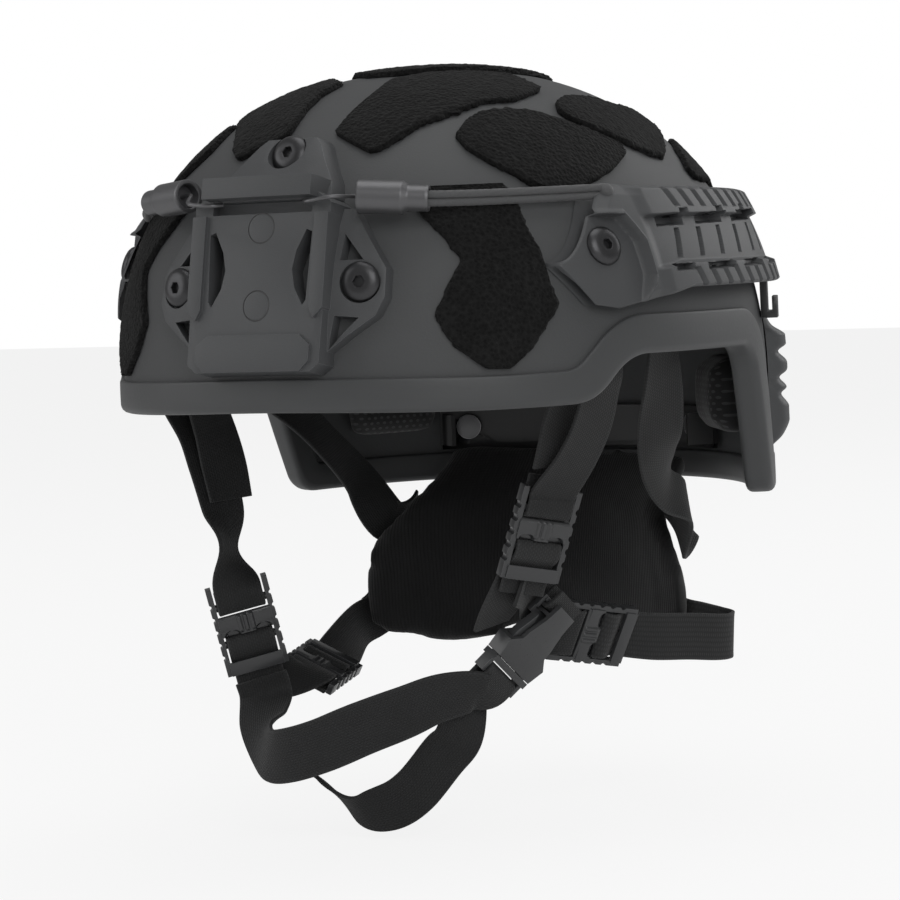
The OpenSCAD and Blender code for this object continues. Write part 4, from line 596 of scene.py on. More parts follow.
def rail_height(y, z, share):
    """Face height over the shell: band profile across, then recess, windows, slots and grooves cut in."""
    bands = np.interp(share, [0, 0.03, 0.235, 0.27, 0.70, 0.735, 0.97, 1],
                      [0.86, 1, 1, 0.70, 0.70, 1, 1, 0.86])
    nose = np.interp(share, [0, 0.08, 0.9, 1], [0.62, 0.85, 0.88, 0.66])
    blend_nose = smooth_step((y + 50) / 7)
    height = RAIL_T * (nose * (1 - blend_nose) + bands * blend_nose)
    height = height * (0.6 + 0.4 * smooth_step((y + RAIL_TIP) / 9)) * (0.72 + 0.28 * smooth_step((RAIL_REAR - y) / 4))
    # Six-sided recess round the screw, open towards the front and below
    pocket = in_polygon(y, z, [[-95, 52], [-80, 69.5], [-58, 68], [-52.5, 58], [-52.5, 45], [-60, 28],
                               [-84, 26]])
    wall = in_polygon(y, z, [[-95, 54], [-81, 71.5], [-57.2, 70], [-51, 59], [-51, 44], [-60, 26], [-84, 24]])
    height = height + 1.1 * ramp(wall, 1.2) * (1 - ramp(pocket, 1.0)) * ramp(z - 41.5 - 0.02 * y, 1.5)
    height = height * (1 - ramp(pocket, 1.1)) + 4.9 * ramp(pocket, 1.1) * np.clip(height / 4.9, 0, 1)
    # Windows under the upper band, upright slits, and slots over the lower band
    for centre, half in (((-29.5, 65.3), 9.0), ((2.0, 65.3), 12.0), ((41.0, 65.3), 15.0)):
        height = height - 4.2 * ramp(bar(y, z, centre, half, 1.9, 0.25), 0.6)
    for centre in ((-22.0, 67.9), (9.0, 67.9), (36.0, 67.9)):
        height = height - 3.2 * ramp(bar(y, z, centre, 3.0, 1.5, 0.25), 0.6)
    for centre in (-29, -12, 6, 24, 43, 60):
        height = height - 4.2 * ramp(bar(y, z, (centre, 56.2), 1.5, 5.4, 0.34), 0.6)
    for centre, half in (((-33.5, 47.0), 6.0), ((-5.0, 46.6), 12.0), ((28.0, 46.3), 11.0),
                         ((58.0, 46.0), 8.0)):
        height = height - 4.2 * ramp(bar(y, z, centre, half, 1.1, 0.25), 0.6)
    # Grooves between the ribs of both bands
    for k in range(RAIL_RIBS):
        high, low = rail_edges(np.array(-26 + k * 84 / RAIL_RIBS))
        height = height - 1.6 * ramp(bar(y, z, (-27 + k * 95 / RAIL_RIBS, high - 4.2), 1.7, 3.6, -0.5), 0.9)
        height = height - 1.6 * ramp(bar(y, z, (-24 + k * 95 / RAIL_RIBS, low + 4.0), 1.7, 3.4, -0.5), 0.9)
    return np.maximum(height, 0.6)


RAIL_RIBS = 9
n_along, n_up = 470, 124
y = np.linspace(-RAIL_TIP, RAIL_REAR, n_along)[:, None]
high, low = rail_edges(y)
share = np.linspace(0, 1, n_up)[None, :]
y, z = y + 0 * share, low + (high - low) * share
height = rail_height(y, z, share + 0 * y)
edge = np.minimum(np.minimum(z - low, high - z), np.minimum(y + RAIL_TIP, RAIL_REAR - y))
height = height - 0.7 * (1 - np.sqrt(1 - (1 - np.clip(edge / 0.8, 0, 1)) ** 2))
top_face = side(y, z, SHELL_D + RAIL_GAP + height)
under_face = side(y, z, SHELL_D + RAIL_GAP + 0 * height)
for hand, sign in (("left", 1), ("right", -1)):
    front, back = top_face * [sign, 1, 1], under_face * [sign, 1, 1]
    # The edge walls stand square to the shell: the under face is joined to the top by the wrap
    grid = np.concatenate([front, back[::-1]]) if sign > 0 else np.concatenate([front[::-1], back])
    rail = surface(f"side_rail_{hand}", grid, hard_nylon, wrap=(True, False), smooth=38)
    placed(rail, "helmet", f"rail_{hand}")

# The screws are button heads with a six-sided socket, blackened and worn a little at the rim.
# Three hold the shroud and one holds each rail. Each turns in a post behind the shell.
SCREW_R, HEAD_R, SOCKET_R = 2.5, 7.75, 2.3
black_steel = plain_finish("black_steel", (0.075, 0.075, 0.078), 0.36, 0.06, 0.10, 0.0005, 0.00004,
                           metal=0.85)


def frame_of(axis):
    """Three square unit directions, the last along the axis."""
    axis = unit(axis)
    across = unit(np.cross((0, 0, 1), axis)) if abs(axis[2]) < 0.95 else np.array([1.0, 0, 0])
    return across, np.cross(axis, across), axis


def turned(name, profile, place, axis, material, parts=64, smooth=35):
    """Surface of revolution: profile rows are (radius, height, six-sided share), from the top middle
    round to the bottom middle. A six-sided row has radius r cos 30 / cos(angle from the nearest flat)."""
    profile = np.array([list(row) + [0] * (3 - len(row)) for row in profile], float)
    turn = np.linspace(0, 2 * math.pi, parts, endpoint=False)
    flat = math.cos(math.pi / 6) / np.cos(turn % (math.pi / 3) - math.pi / 6)
    r = profile[:, :1] * (1 - profile[:, 2:] + profile[:, 2:] * flat)
    x, y, z = frame_of(axis)
    grid = (np.asarray(place, float) + r[..., None] * (np.cos(turn)[:, None] * x + np.sin(turn)[:, None] * y)
            + profile[:, 1, None, None] * z)
    return surface(name, grid, material, wrap=(False, True), smooth=smooth)


def front_angle(x, z):
    """Plan angle in degrees of the front point of the shell with a given x and z."""
    share = x / (B_WID + SHELL_D)
    k = narrowing(np.array(z), SHELL_D, arch_power(-1))
    return math.degrees(math.atan2(-((k ** PLAN_POWER - abs(share) ** PLAN_POWER) ** (1 / PLAN_POWER)),
                                   share))


def side_out(y, z):
    """Outward direction of the left side of the shell at y and z: the cross product of its two slopes."""
    th = side_angle(y, z, SHELL_D)
    return unit(np.cross(surf(th + 0.5, z, SHELL_D) - surf(th - 0.5, z, SHELL_D),
                         surf(th, z + 0.5, SHELL_D) - surf(th, z - 0.5, SHELL_D)))


def joined(name, pieces, smooth=35):
    """Joins the meshes of several objects into one object, with the first one's material."""
    work = bmesh.new()
    for piece in pieces:
        work.from_mesh(piece.data)
    mesh = bpy.data.meshes.new(name)
    work.to_mesh(mesh)
    work.free()
    material = pieces[0].data.materials[0]
    for piece in pieces:
        old = piece.data
        bpy.data.objects.remove(piece)
        bpy.data.meshes.remove(old)
    return finished(name, mesh, material, smooth)


def screw(name, place, axis, seat, grip):
    """Button head and shank, its head's underside seat millimetres along the axis from the shell."""
    profile = [(0, 1.0), (SOCKET_R, 1.02, 1), (SOCKET_R, 1.2, 1), (SOCKET_R, 2.9, 1),
               (SOCKET_R + 0.25, 3.16, 1),
               (3.5, 3.2), (4.6, 3.06), (5.8, 2.66), (6.7, 2.1), (7.3, 1.5), (7.62, 0.9),
               (HEAD_R - 0.02, 0.4),
               (7.6, 0.08), (7.3, 0.0), (SCREW_R, 0.0), (SCREW_R, -grip), (0, -grip)]
    return turned(name, [(row[0], row[1] + seat, *row[2:]) for row in profile], place, axis, black_steel)


SIDE_SEAT, TOP_SEAT, RAIL_SEAT = 4.0, 6.0, 5.5
side_screw = surf(front_angle(40, 48), 48, SHELL_D)
side_axis = np.array([0.22, -1, 0.1])
heads = [screw("shroud_screw_a", side_screw, side_axis, SIDE_SEAT, 13),
         screw("shroud_screw_b", side_screw * [-1, 1, 1], side_axis * [-1, 1, 1], SIDE_SEAT, 13),
         screw("shroud_screw_c", surf(-90, 95, SHELL_D), (0, -1, 0.42), TOP_SEAT, 15)]
heads = joined("shroud_screw_set", heads)
placed(heads, "helmet", "shroud_screws")
rail_place, rail_axis = side(*RAIL_SCREW, SHELL_D), side_out(*RAIL_SCREW)
heads = joined("rail_screw_set", [screw("rail_screw_a", rail_place, rail_axis, RAIL_SEAT, 17),
                                  screw("rail_screw_b", rail_place * [-1, 1, 1], rail_axis * [-1, 1, 1],
                                        RAIL_SEAT, 17)])
placed(heads, "helmet", "rail_screws")

# The posts, the studs of the rear bracket, the flush bolts under the rails and the clips' pins
# are turned metal, with their sharp edges broken. They are zinc grey inside and black outside.
zinc = plain_finish("grey_zinc", (0.20, 0.20, 0.205), 0.42, 0.06, 0.10, 0.0006, 0.00004, metal=0.8)
for name, node, material, slot in (("shroud_post_set", "shroud_posts", zinc, "post"),
                                   ("strap_post_set", "strap_posts", zinc, "post"),
                                   ("bracket_stud_set", "bracket_studs", zinc, "post"),
                                   ("flush_bolt_set", "harness_bolts", black_steel, "steel"),
                                   ("clip_pin_set", "clip_pins", black_steel, "steel")):
    dressed(name, node, material, 0.18, "helmet")

# Each lanyard has a turned ferrule of dark metal with a stepped rear end, and a bent wire hook
# that lies in the slot under the shroud's shelf. The ferrule and hook slide forward together.
turned_metal = plain_finish("turned_metal", (0.150, 0.150, 0.155), 0.40, 0.04, 0.07, 0.0004, 0.00003,
                            metal=0.7)
FERRULE_R, NECK_R, FERRULE_LONG, HOOK_R = 6.5, 5.0, 27.0, 0.8
SHROUD_LEAN, SHELF_Z, IN_X, BAR_X = math.radians(12.4), 82.0, 24.5, 30.5
plate_y = float(surf(-90, 40, SHELL_D)[1]) - 8


def leant(x, y, z):
    """Point of the upright shroud drawing after the shroud is leant back about its line at z = 40."""
    return np.array([x, plate_y + y * math.cos(SHROUD_LEAN) + (z - 40) * math.sin(SHROUD_LEAN),
                     40 + (z - 40) * math.cos(SHROUD_LEAN) - y * math.sin(SHROUD_LEAN)])


def spline(points, parts):
    """Smooth curve through points: on each stretch the cubic whose slopes are half the step between the
    points before and after, with a given number of parts a stretch."""
    p = np.asarray(points, float)
    padded_points = np.concatenate([p[:1], p, p[-1:]])
    t = np.arange(parts)[:, None] / parts
    curve = []
    for a, b, c, e in zip(padded_points, padded_points[1:], padded_points[2:], padded_points[3:]):
        curve.append(0.5 * (2 * b + (c - a) * t + (2 * a - 5 * b + 4 * c - e) * t ** 2
                            + (3 * b - a - 3 * c + e) * t ** 3))
    return np.concatenate(curve + [p[-1:]])


def tube(name, line, radius, material, sides=14, smooth=60, phase=None, lobes=0, depth=0.0):
    """Round tube along a line. With lobes its section is r (1 + depth cos(lobes a + phase)), which turns
    along the line with phase and so makes the strands of a twisted cord."""
    line = np.asarray(line, float)
    ahead = unit(np.gradient(line, axis=0))
    a = unit(np.cross([0, 0, 1], ahead))
    b = np.cross(ahead, a)
    turn = -np.linspace(0, 2 * math.pi, sides, endpoint=False)
    phase = np.zeros(len(line)) if phase is None else phase
    r = radius * (1 + depth * (np.abs(np.cos((lobes * turn[None] + phase[:, None]) / 2)) - 0.64))
    grid = line[:, None] + r[..., None] * (np.cos(turn)[None, :, None] * a[:, None]
                                           + np.sin(turn)[None, :, None] * b[:, None])
    return surface(name, grid[:, ::-1], material, wrap=(False, True), closed=True, smooth=smooth)


bore_r = FERRULE_R - 1.8
ferrule_rows = [(0, 5), (bore_r, 5), (bore_r, 0.4), (bore_r + 0.35, 0), (6.1, 0), (6.4, 0.15),
                (FERRULE_R, 0.5)]
ferrule_rows += [(FERRULE_R - 0.05 * (k % 2), 0.9 + 0.5 * k) for k in range(32)]
ferrule_rows += [(FERRULE_R, 16.9), (FERRULE_R - 0.1, 17.2), (NECK_R + 0.1, 18.9), (NECK_R, 19.2)]
ferrule_rows += [(NECK_R - 0.04 * (k % 2), 19.6 + 0.5 * k) for k in range(13)]
ferrule_rows += [(NECK_R, 26.5), (NECK_R - 0.25, FERRULE_LONG), (3.75, FERRULE_LONG), (3.45, 26.6),
                 (3.35, 18), (0, 18)]
ferrule_near, ferrule_dir = leant(38.3, 7.4, 82.7), unit([25, 10, -2])
hook_end = leant(IN_X - 6, 1.5, SHELF_Z - 0.6 - HOOK_R)
RIGHT_LIFT = 3.5
for hand, sign, lift in (("left", 1, 0.0), ("right", -1, RIGHT_LIFT)):
    start = ferrule_near + [0, 0, lift]
    hook = spline([start + ferrule_dir * 4.8, start - ferrule_dir * 1.5, leant(BAR_X + 1.8, -1.4, 81.2),
                   hook_end + [4, -4, 0], hook_end], 8) * [sign, 1, 1]
    body = turned("ferrule", ferrule_rows, start * [sign, 1, 1], ferrule_dir * [sign, 1, 1], turned_metal,
                  smooth=30)
    # The rows run from the open front end, so the surface of revolution is turned inside out
    body.data.flip_normals()
    piece = joined(f"lanyard_ferrule_{hand}", [body, tube("hook", hook, HOOK_R, turned_metal)])
    placed(piece, f"lanyard_{hand}", f"ferrule_{hand}")

# Two elastic cords run from each ferrule over the front loop panel into the end of the rail.
# They are braided, and stretch between the ferrule and a knot that is held in the rail.
cord_weave = plain_finish("elastic_braid", (0.085, 0.086, 0.088), 0.70, 0.05, 0.30, 0.0007, 0.00015,
                          sheen=0.15)
CORD_R = 1.5
anchor = side(-58, RAIL_TOP - 1.5, SHELL_D + 7.5)
cord_mid = surf(-47, 77.5, SHELL_D + 2.4 + CORD_R + 1.3)
cord_dir = unit(anchor - cord_mid)
cord_up = unit(np.array([0, 0, 1]) - cord_dir * cord_dir[2]) * CORD_R
for hand, sign, lift in (("left", 1, 0.0), ("right", -1, RIGHT_LIFT)):
    bend = ferrule_near + ferrule_dir * (FERRULE_LONG + 2) + [0, 0, lift]
    strands = []
    for k in (-1, 1):
        line = spline([bend - ferrule_dir * 10, bend, cord_mid, anchor], 40) + cord_up * k * 0.97
        strands.append(tube("strand", line * [sign, 1, 1], CORD_R, cord_weave, sides=18,
                            phase=np.arange(len(line)) * 0.9, lobes=6, depth=0.16))
    knot = [(0, 3.1), (1.6, 2.7), (2.6, 1.7), (3.1, 0), (2.6, -1.7), (1.6, -2.7), (0, -3.1)]
    strands.append(turned("knot", knot, anchor * [sign, 1, 1], cord_dir * [sign, 1, 1], cord_weave, parts=18,
                          smooth=80))
    cord = joined(f"lanyard_cord_{hand}", strands, 80)
    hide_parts(f"bungee_{hand}")
    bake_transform(cord)

# A black plastic clip hangs under the rear end of each rail on a pin, with a hooked lower end.
# It swings away from the head. Its edges are rounded and its faces have a satin gloss.
satin_black = plain_finish("satin_black", (0.018, 0.018, 0.019), 0.30, 0.04, 0.06, 0.0006, 0.00004, coat=0.15)
for hand in ("left", "right"):
    dressed(f"strap_clip_{hand}", f"rail_clip_{hand}", satin_black, 0.4, f"clip_{hand}")

# Behind each ear cut a ribbed guide is glued to the shell: rounded upright bumps, a long one
# below, that keep a goggle strap from sliding down. It is moulded in one piece.
GUIDE_Z = [22, 18, 14, 10, 7, 3, -1, -4, -8, -11, -16, -22, -28, -31.5]
GUIDE_RISE = [2, 4, 9, 9, 5.5, 8.7, 8.7, 5.5, 8.3, 6, 9, 9, 6, 2]
rows = spline(np.stack([GUIDE_Z, GUIDE_RISE], -1), 9)
across = np.linspace(0, 1, 30)
round_off = np.clip(1 - np.abs(2 * across - 1) ** 5, 0, 1) ** 0.5 * 0.9 + 0.1
angle = 30 + 18 * across
top_grid = surf(angle[None], rows[:, :1], SHELL_D + np.clip(rows[:, 1:], 1.2, 9) * round_off[None])
base_grid = surf(angle[None] + 0 * rows[:, :1], rows[:, :1], SHELL_D + 0.5)
for hand, sign in (("left", 1), ("right", -1)):
    grid = np.concatenate([top_grid, base_grid[:, ::-1]], 1)[::-sign] * [sign, 1, 1]
    guide = surface(f"goggle_guide_{hand}", grid, hard_nylon, wrap=(False, True), closed=True, smooth=50)
    placed(guide, "helmet", f"strap_guide_{hand}")

# All the straps are woven nylon webbing: fine cross ribs in narrow columns of warp, a thicker
# rounded selvedge on both edges, and here and there a soft wave along the free stretches.
WEB_T, WEB_W, CHIN_W, LAYER_GAP = 1.6, 20.0, 22.0, 0.4
HINGE_L, LOW_L, BAR_R = 9.0, 25.0, 1.6
WRAP_R = BAR_R + 0.45 + WEB_T / 2
TRIM_INSIDE, SOFT_GAP = -12.3, 0.35
STRAP_D = TRIM_INSIDE - SOFT_GAP - LAYER_GAP - WEB_T / 2


def weave_finish(name, shade, wide, warp=1.0, weft=1.5):
    """Woven webbing on UV in metres, u across and v along: each warp column is |sin| across, its floats rise and sink
    by a sine along that turns by half a period from column to column, the tone is darker where the threads are low, a
    painted shade in the grooves of the weave, the outer 7 per cent on each side is lighter, a painted highlight on
    the rounded selvedge, and large worn patches vary the tone."""
    made = bpy.data.materials.new(name)
    tree = fresh(made)
    sum_of = sums(tree)
    parts = add(tree, "SeparateXYZ", {0: add(tree, "UVMap", {}, uv_map="UVMap").outputs[0]})
    column = sum_of("MULTIPLY", parts.outputs[0], 1000 / warp)
    ridge = sum_of("ABSOLUTE", sum_of("SINE", sum_of("MULTIPLY", column, math.pi)))
    turn = sum_of("MULTIPLY", sum_of("FLOOR", column), math.pi)
    wave = sum_of("SINE", sum_of("MULTIPLY_ADD", parts.outputs[1], 2000 * math.pi / weft, turn))
    thread = sum_of("MULTIPLY", ridge, sum_of("MULTIPLY_ADD", wave, 0.35, 0.65))
    edge = add(tree, "MapRange", {"Value": sum_of("ABSOLUTE", parts.outputs[0]), "From Min": wide * 0.00042,
                                  "From Max": wide * 0.00045, "To Min": 1.0, "To Max": 1.35}).outputs[0]
    spots = add(tree, "TexNoise", {"Vector": add(tree, "TexCoord", {}).outputs["Object"], "Scale": 90.0,
                                   "Detail": 4.0})
    worn = sum_of("MULTIPLY_ADD", spots.outputs["Fac"], 0.5, 0.75)
    # Painted shade and highlight: darker where the threads are low, lighter on the selvedge.
    tone = sum_of("MULTIPLY", sum_of("MULTIPLY", sum_of("MULTIPLY_ADD", thread, 0.63, 0.55), worn), edge)
    paint = add(tree, "VectorMath", {0: tuple(shade), "Scale": tone}, operation="SCALE")
    covered(tree, paint.outputs[0], 0.78, thread, 0.7, 0.00022, {"Sheen Weight": 0.12})
    return made


web_dark = weave_finish("webbing_black", (0.016, 0.0165, 0.017), WEB_W)
web_mid = weave_finish("webbing_worn", (0.024, 0.0245, 0.025), WEB_W)
web_ribbed = weave_finish("webbing_ribbed", (0.020, 0.0205, 0.021), WEB_W, warp=2.1, weft=1.1)
chin_web = weave_finish("webbing_chin", (0.019, 0.0195, 0.020), CHIN_W)


def lock_frame(origin, length, width):
    """Frame of a ladder lock: origin, width, length and outward directions."""
    a = unit(length)
    b = unit(np.array(width, float) - a * np.dot(width, a))
    return np.array(origin, float), b, a, np.cross(b, a)


def at(f, x, l, n):
    """Point of a lock's frame."""
    return f[0] + f[1] * x + f[2] * l + f[3] * n


F_LEFT = lock_frame([71, -47, -37.5], [-0.33, -0.02, -0.94], [-0.55, -0.82, 0.15])
F_RIGHT = lock_frame([-74, -57.5, -75.5], [0.108, 0.203, -0.973], [-0.78, -0.59, -0.21])
G_LEFT = lock_frame([48.8, -10.7, -98.6], [0.4, 0.895, -0.2], [-0.4, -0.02, -0.91])
G_RIGHT = lock_frame([-62, -27, -119.5], [-0.22, 0.97, 0.08], [0.865, 0.19, -0.464])
BUCKLE = lock_frame([41, -35.6, -109.8], [-0.58, -0.465, -0.67], [0, 0.82, -0.57])


def buckle_at(s, w, n):
    """Point of the buckle: s from socket to plug, w across and n away from the face."""
    return BUCKLE[0] + BUCKLE[2] * s + BUCKLE[1] * w - BUCKLE[3] * n


def wrap(f, l, way):
    """Half turn of webbing round a lock's bar, from the outer side to the inner side."""
    return [(at(f, 0, l + way * WRAP_R * math.sin(g), WRAP_R * math.cos(g)), f[1])
            for g in np.radians([0, 45, 90, 135, 180])]


def threaded(f):
    """Webbing from its tail round a lock's low bar to the outer side, and on past the frame."""
    turn = [(at(f, 0, LOW_L - WRAP_R * math.sin(g), WRAP_R * math.cos(g)), f[1])
            for g in np.radians([180, 135, 90, 45, 0])]
    return ([(at(f, 0, 36, -4.9), f[1]), (at(f, 0, 30, -3.9), f[1])] + turn
            + [(at(f, 0, 28.4, 2.2), f[1]), (at(f, 0, 33, -1.2), f[1]), (at(f, 0, 38, -1.7), f[1])])


def wall_strap(y, z, d):
    """Point and width direction of webbing on the inner wall."""
    return side(y, z, d), unit(side(y + 4, z, d) - side(y - 4, z, d))


def webbing(name, path, wide, material, parts=10, mirrored=False, ripple=0.0, seed=0):
    """Ribbon along a smooth curve through (point, width direction) pairs. Its section is flat, with thicker
    rounded selvedges. Ripple bends the section by sin(run / 7.1) sin(2.1 across), and its edges a little."""
    p = spline([c[0] for c in path], parts)
    s = spline([c[1] for c in path], parts)
    ahead = unit(np.gradient(p, axis=0))
    across = unit(s - ahead * (s * ahead).sum(-1, keepdims=True))
    outward = np.cross(ahead, across)
    share = np.concatenate([np.linspace(-1, -0.9, 5)[:-1], np.linspace(-0.9, 0.9, 13),
                            np.linspace(0.9, 1, 5)[1:]])
    edge = np.sqrt(np.clip(1 - np.clip((np.abs(share) - 0.93) / 0.07, 0, 1) ** 2, 0, 1))
    edge = edge * (1 + 0.10 * smooth_step((np.abs(share) - 0.80) / 0.08)) * 0.93
    around = np.concatenate([share, share[::-1]])
    height = np.concatenate([-edge, edge[::-1]]) * WEB_T / 2
    run = np.concatenate([[0], np.cumsum(np.linalg.norm(np.diff(p, axis=0), axis=-1))])
    rng = np.random.default_rng(seed)
    a, b, c = rng.uniform(0, 6.28, 3)
    wave = ripple * np.sin(run / 7.1 + a)[:, None] * np.sin(around * 2.1 + b)[None] * smooth_step(
        np.minimum(run, run[-1] - run) / 12)[:, None]
    edge_wave = 0.25 * ripple * np.sin(run / 3.7 + c)[:, None] * np.sign(around)[None]
    grid = (p[:, None] + across[:, None] * ((around * wide / 2)[None, :, None] + edge_wave[..., None])
            + outward[:, None] * (height[None] + wave)[..., None])
    uv = np.stack([np.broadcast_to(around * wide / 2 * MM, wave.shape),
                   np.broadcast_to((run * MM)[:, None], wave.shape)], -1)
    if mirrored:
        grid = grid * [-1, 1, 1]
    else:
        grid, uv = grid[:, ::-1], uv[:, ::-1]
    piece = surface(name, grid, material, wrap=(False, True), closed=True, uv=uv, smooth=50)
    piece["length"] = float(run[-1])
    return piece


def declare(piece, wide, held, rests, *nodes, body="helmet"):
    """Hangs the strap on the empty of its body, if it has one, and hides the CAD nodes that it stands for. wide, the
    cut width, held, how it is held, and rests are not used.
    """
    if body:
        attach(piece, body)
    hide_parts(*nodes)


end_left = ([(at(F_LEFT, 0, 1, WRAP_R), -F_LEFT[1]), (at(F_LEFT, 0, 5, WRAP_R), -F_LEFT[1])]
            + [(c[0], -F_LEFT[1]) for c in wrap(F_LEFT, HINGE_L, 1)]
            + [(at(F_LEFT, 0, 4, -WRAP_R), -F_LEFT[1]), (at(F_LEFT, 0, -4, -WRAP_R - 0.1), -F_LEFT[1])])
front_left = ([wall_strap(y, z, STRAP_D) for y, z in ((-66, 68), (-66, 55), (-64.5, 40), (-62.5, 22),
                                                      (-60.5, 9))]
              + [([99, -57, -1], [0.3, 0.95, 0]), ([92.5, -53, -14], [0.38, 0.92, -0.05]),
                 ([84, -50.5, -26.5], [0.47, 0.87, -0.1])]
              + end_left)
strap = webbing("front_webbing_left", front_left, WEB_W, web_dark, ripple=0.10, seed=1)
declare(strap, WEB_W, "hung", ["strap_posts", "lock_front_left"], "front_strap_left")

flip = np.array([-1, 1, 1])
end_right = [(c[0] * flip, c[1] * [1, -1, -1]) for c in
             [(at(F_RIGHT, 0, 3, WRAP_R), F_RIGHT[1])] + wrap(F_RIGHT, HINGE_L, 1)
             + [(at(F_RIGHT, 0, 3, -WRAP_R), F_RIGHT[1])]]
front_right = ([wall_strap(y, z, STRAP_D) for y, z in ((-66, 68), (-66, 55), (-64.5, 40), (-63, 22),
                                                       (-61, 10))]
               + [([98, -58, 0], [-0.2, 0.98, 0]), ([91, -54, -14], [-0.4, 0.9, 0]),
                  ([86, -53, -28], [-0.55, 0.83, 0]),
                  ([80.5, -54, -46], [-0.4, 0.88, 0]), ([76.5, -57, -62], [0.3, 0.95, 0.1])] + end_right)
strap = webbing("front_webbing_right", front_right, WEB_W, web_dark, mirrored=True, ripple=0.10, seed=2)
declare(strap, WEB_W, "hung", ["strap_posts", "lock_front_right"], "front_strap_right")

# The free ends of the front straps hang inside them, cut square and sealed, with a soft twist.
inner_d = STRAP_D - WEB_T - LAYER_GAP
inner_wall = [wall_strap(y, z, inner_d) for y, z in ((-66, 67), (-66, 55), (-64.5, 40))]
inner_left = inner_wall + [([94.5, -61.5, 22], [0.15, 0.99, 0]), ([88, -60, 4], [0.15, 0.98, 0]),
                           ([82.5, -57, -9], [0.3, 0.95, 0]),
                           ([78.5, -53.8, -20], [0.42, 0.9, 0]), ([75, -51, -28], [0.5, 0.86, 0])]
strap = webbing("inner_webbing_left", inner_left, WEB_W, web_dark, ripple=0.12, seed=3)
declare(strap, WEB_W, "hung", ["strap_posts"], "inner_strap_left")
inner_right = inner_wall + [([94.5, -60, 22], [-0.1, 0.99, 0]), ([87, -57, 4], [-0.2, 0.98, 0]),
                            ([83.5, -53, -12], [-0.4, 0.9, 0]),
                            ([80.5, -51.5, -28], [-0.55, 0.83, 0]), ([77.5, -52, -42], [-0.45, 0.88, 0])]
strap = webbing("inner_webbing_right", inner_right, WEB_W, web_dark, mirrored=True, ripple=0.12, seed=4)
declare(strap, WEB_W, "hung", ["strap_posts"], "inner_strap_right")

# The rear straps run from the flush bolts under the rails down to the upper corners of the nape
# pad, turning as they go. Their ends aren't sewn to it: they stand a few millimetres off its face.
NAPE_T = 12.0
OFF_PAD = NAPE_T / 2 + SOFT_GAP + WEB_T / 2
tilt = math.radians(2.2)


def nape_y(x, z):
    """Depth of the nape pad: m - c x^2, with m and c changing in straight steps with height."""
    c = np.where(z > -58, 0.01 - 0.0065 * (z + 58) / 24, 0.0066 + 0.0034 * np.maximum(0, (z + 90) / 32))
    m = np.where(z > -58, 104 + 17 * (z + 58) / 24, 95 + 9 * np.maximum(0, (z + 90) / 32))
    return m - c * x * x


def hung(p):
    """The point turned by the pad's small tilt about a line through z = -1."""
    p = np.asarray(p, float)
    x, z = p[..., 0], p[..., 2] + 1
    return np.stack([x * math.cos(tilt) + z * math.sin(tilt), p[..., 1],
                     z * math.cos(tilt) - x * math.sin(tilt) - 1], -1)


def nape_at(x, z, n):
    """Point beside the pad's sheet, off it by n towards the neck, as it hangs."""
    x, z = np.asarray(x, float), np.asarray(z, float)
    y = nape_y(x, z)
    normal = unit(np.stack([nape_y(x + 1, z) - y, -1 + 0 * y, nape_y(x, z + 1) - y], -1))
    return hung(np.stack([x, y, z], -1) + normal * np.asarray(n, float)[..., None])


rear_wall = [(side(-8, 66, STRAP_D), [0, 1, 0]), (side(-8, 53, STRAP_D), [0, 1, 0]),
             (side(-8.5, 38, STRAP_D), [0, 1, 0.1])]
rear_free = {"left": [([104.5, -11, 20], [0.05, 0.98, 0.2]), ([101, -6, 2], [0.35, 0.85, 0.25]),
                      ([93, 6, -19], [0.72, 0.62, 0.3]),
                      ([85.5, 18, -34], [0.45, 0.6, 0.66]), ([81, 33, -46], [-0.05, 0.5, 0.86]),
                      ([80.5, 53, -54], [-0.35, 0.45, 0.82])],
             "right": [([103, -3, 20], [-0.1, 0.97, 0.2]), ([98, 4, 4], [-0.2, 0.9, 0.3]),
                       ([88, 19, -12], [0.1, 0.75, 0.6]),
                       ([84, 34, -26], [0.2, 0.6, 0.75]), ([82.5, 56, -44], [0, 0.5, 0.85])]}
for hand, k in (("left", 1), ("right", -1)):
    ends = [nape_at(k * x, z, -OFF_PAD - off) * [k, 1, 1]
            for x, z, off in ((65, -58, 5), (56.5, -62.5, 6.3))]
    path = rear_wall + rear_free[hand] + [(e, [-0.45, 0.4, 0.8]) for e in ends]
    strap = webbing(f"rear_webbing_{hand}", path, WEB_W, web_dark, mirrored=k < 0, ripple=0.08, seed=6 + k)
    declare(strap, WEB_W, "hung", ["strap_posts", "nape_pad"], f"rear_strap_{hand}")


def follow(piece):
    """Bakes the webbing's placement in the scene into its mesh."""
    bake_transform(piece)


path = ([([38.6, -43.5, -93], [0.08, -0.96, 0.27]), ([47, -46.5, -82.5], [-0.25, -0.92, 0.25])]
        + threaded(F_LEFT)
        + [(at(F_LEFT, 0, 45, -1.7), F_LEFT[1])])
first = webbing("junction_webbing_left", path, WEB_W, web_mid, parts=6, seed=9)
declare(first, WEB_W, "hung", ["lock_front_left"], "junction_left", body=None)
follow(first)
path = ([(at(F_LEFT, 0, 41, -1.6) + [1, -3, 1], [-0.2, -0.42, -0.88]),
         ([53.6, -36, -78.6], [-0.35, -0.35, -0.87]),
         ([49.2, -23.3, -85], [-0.5, -0.4, -0.75]), (at(G_LEFT, 0, -4, WRAP_R - 1.2), G_LEFT[1]),
         (at(G_LEFT, 0, 3, WRAP_R), G_LEFT[1])]
        + wrap(G_LEFT, HINGE_L, 1) + [(at(G_LEFT, 0, 2, -WRAP_R), G_LEFT[1])])
second = webbing("junction_leg_left", path, WEB_W, web_dark, seed=10)
declare(second, WEB_W, "hung", ["lock_rear_left", "junction_webbing_left"], "junction_left")

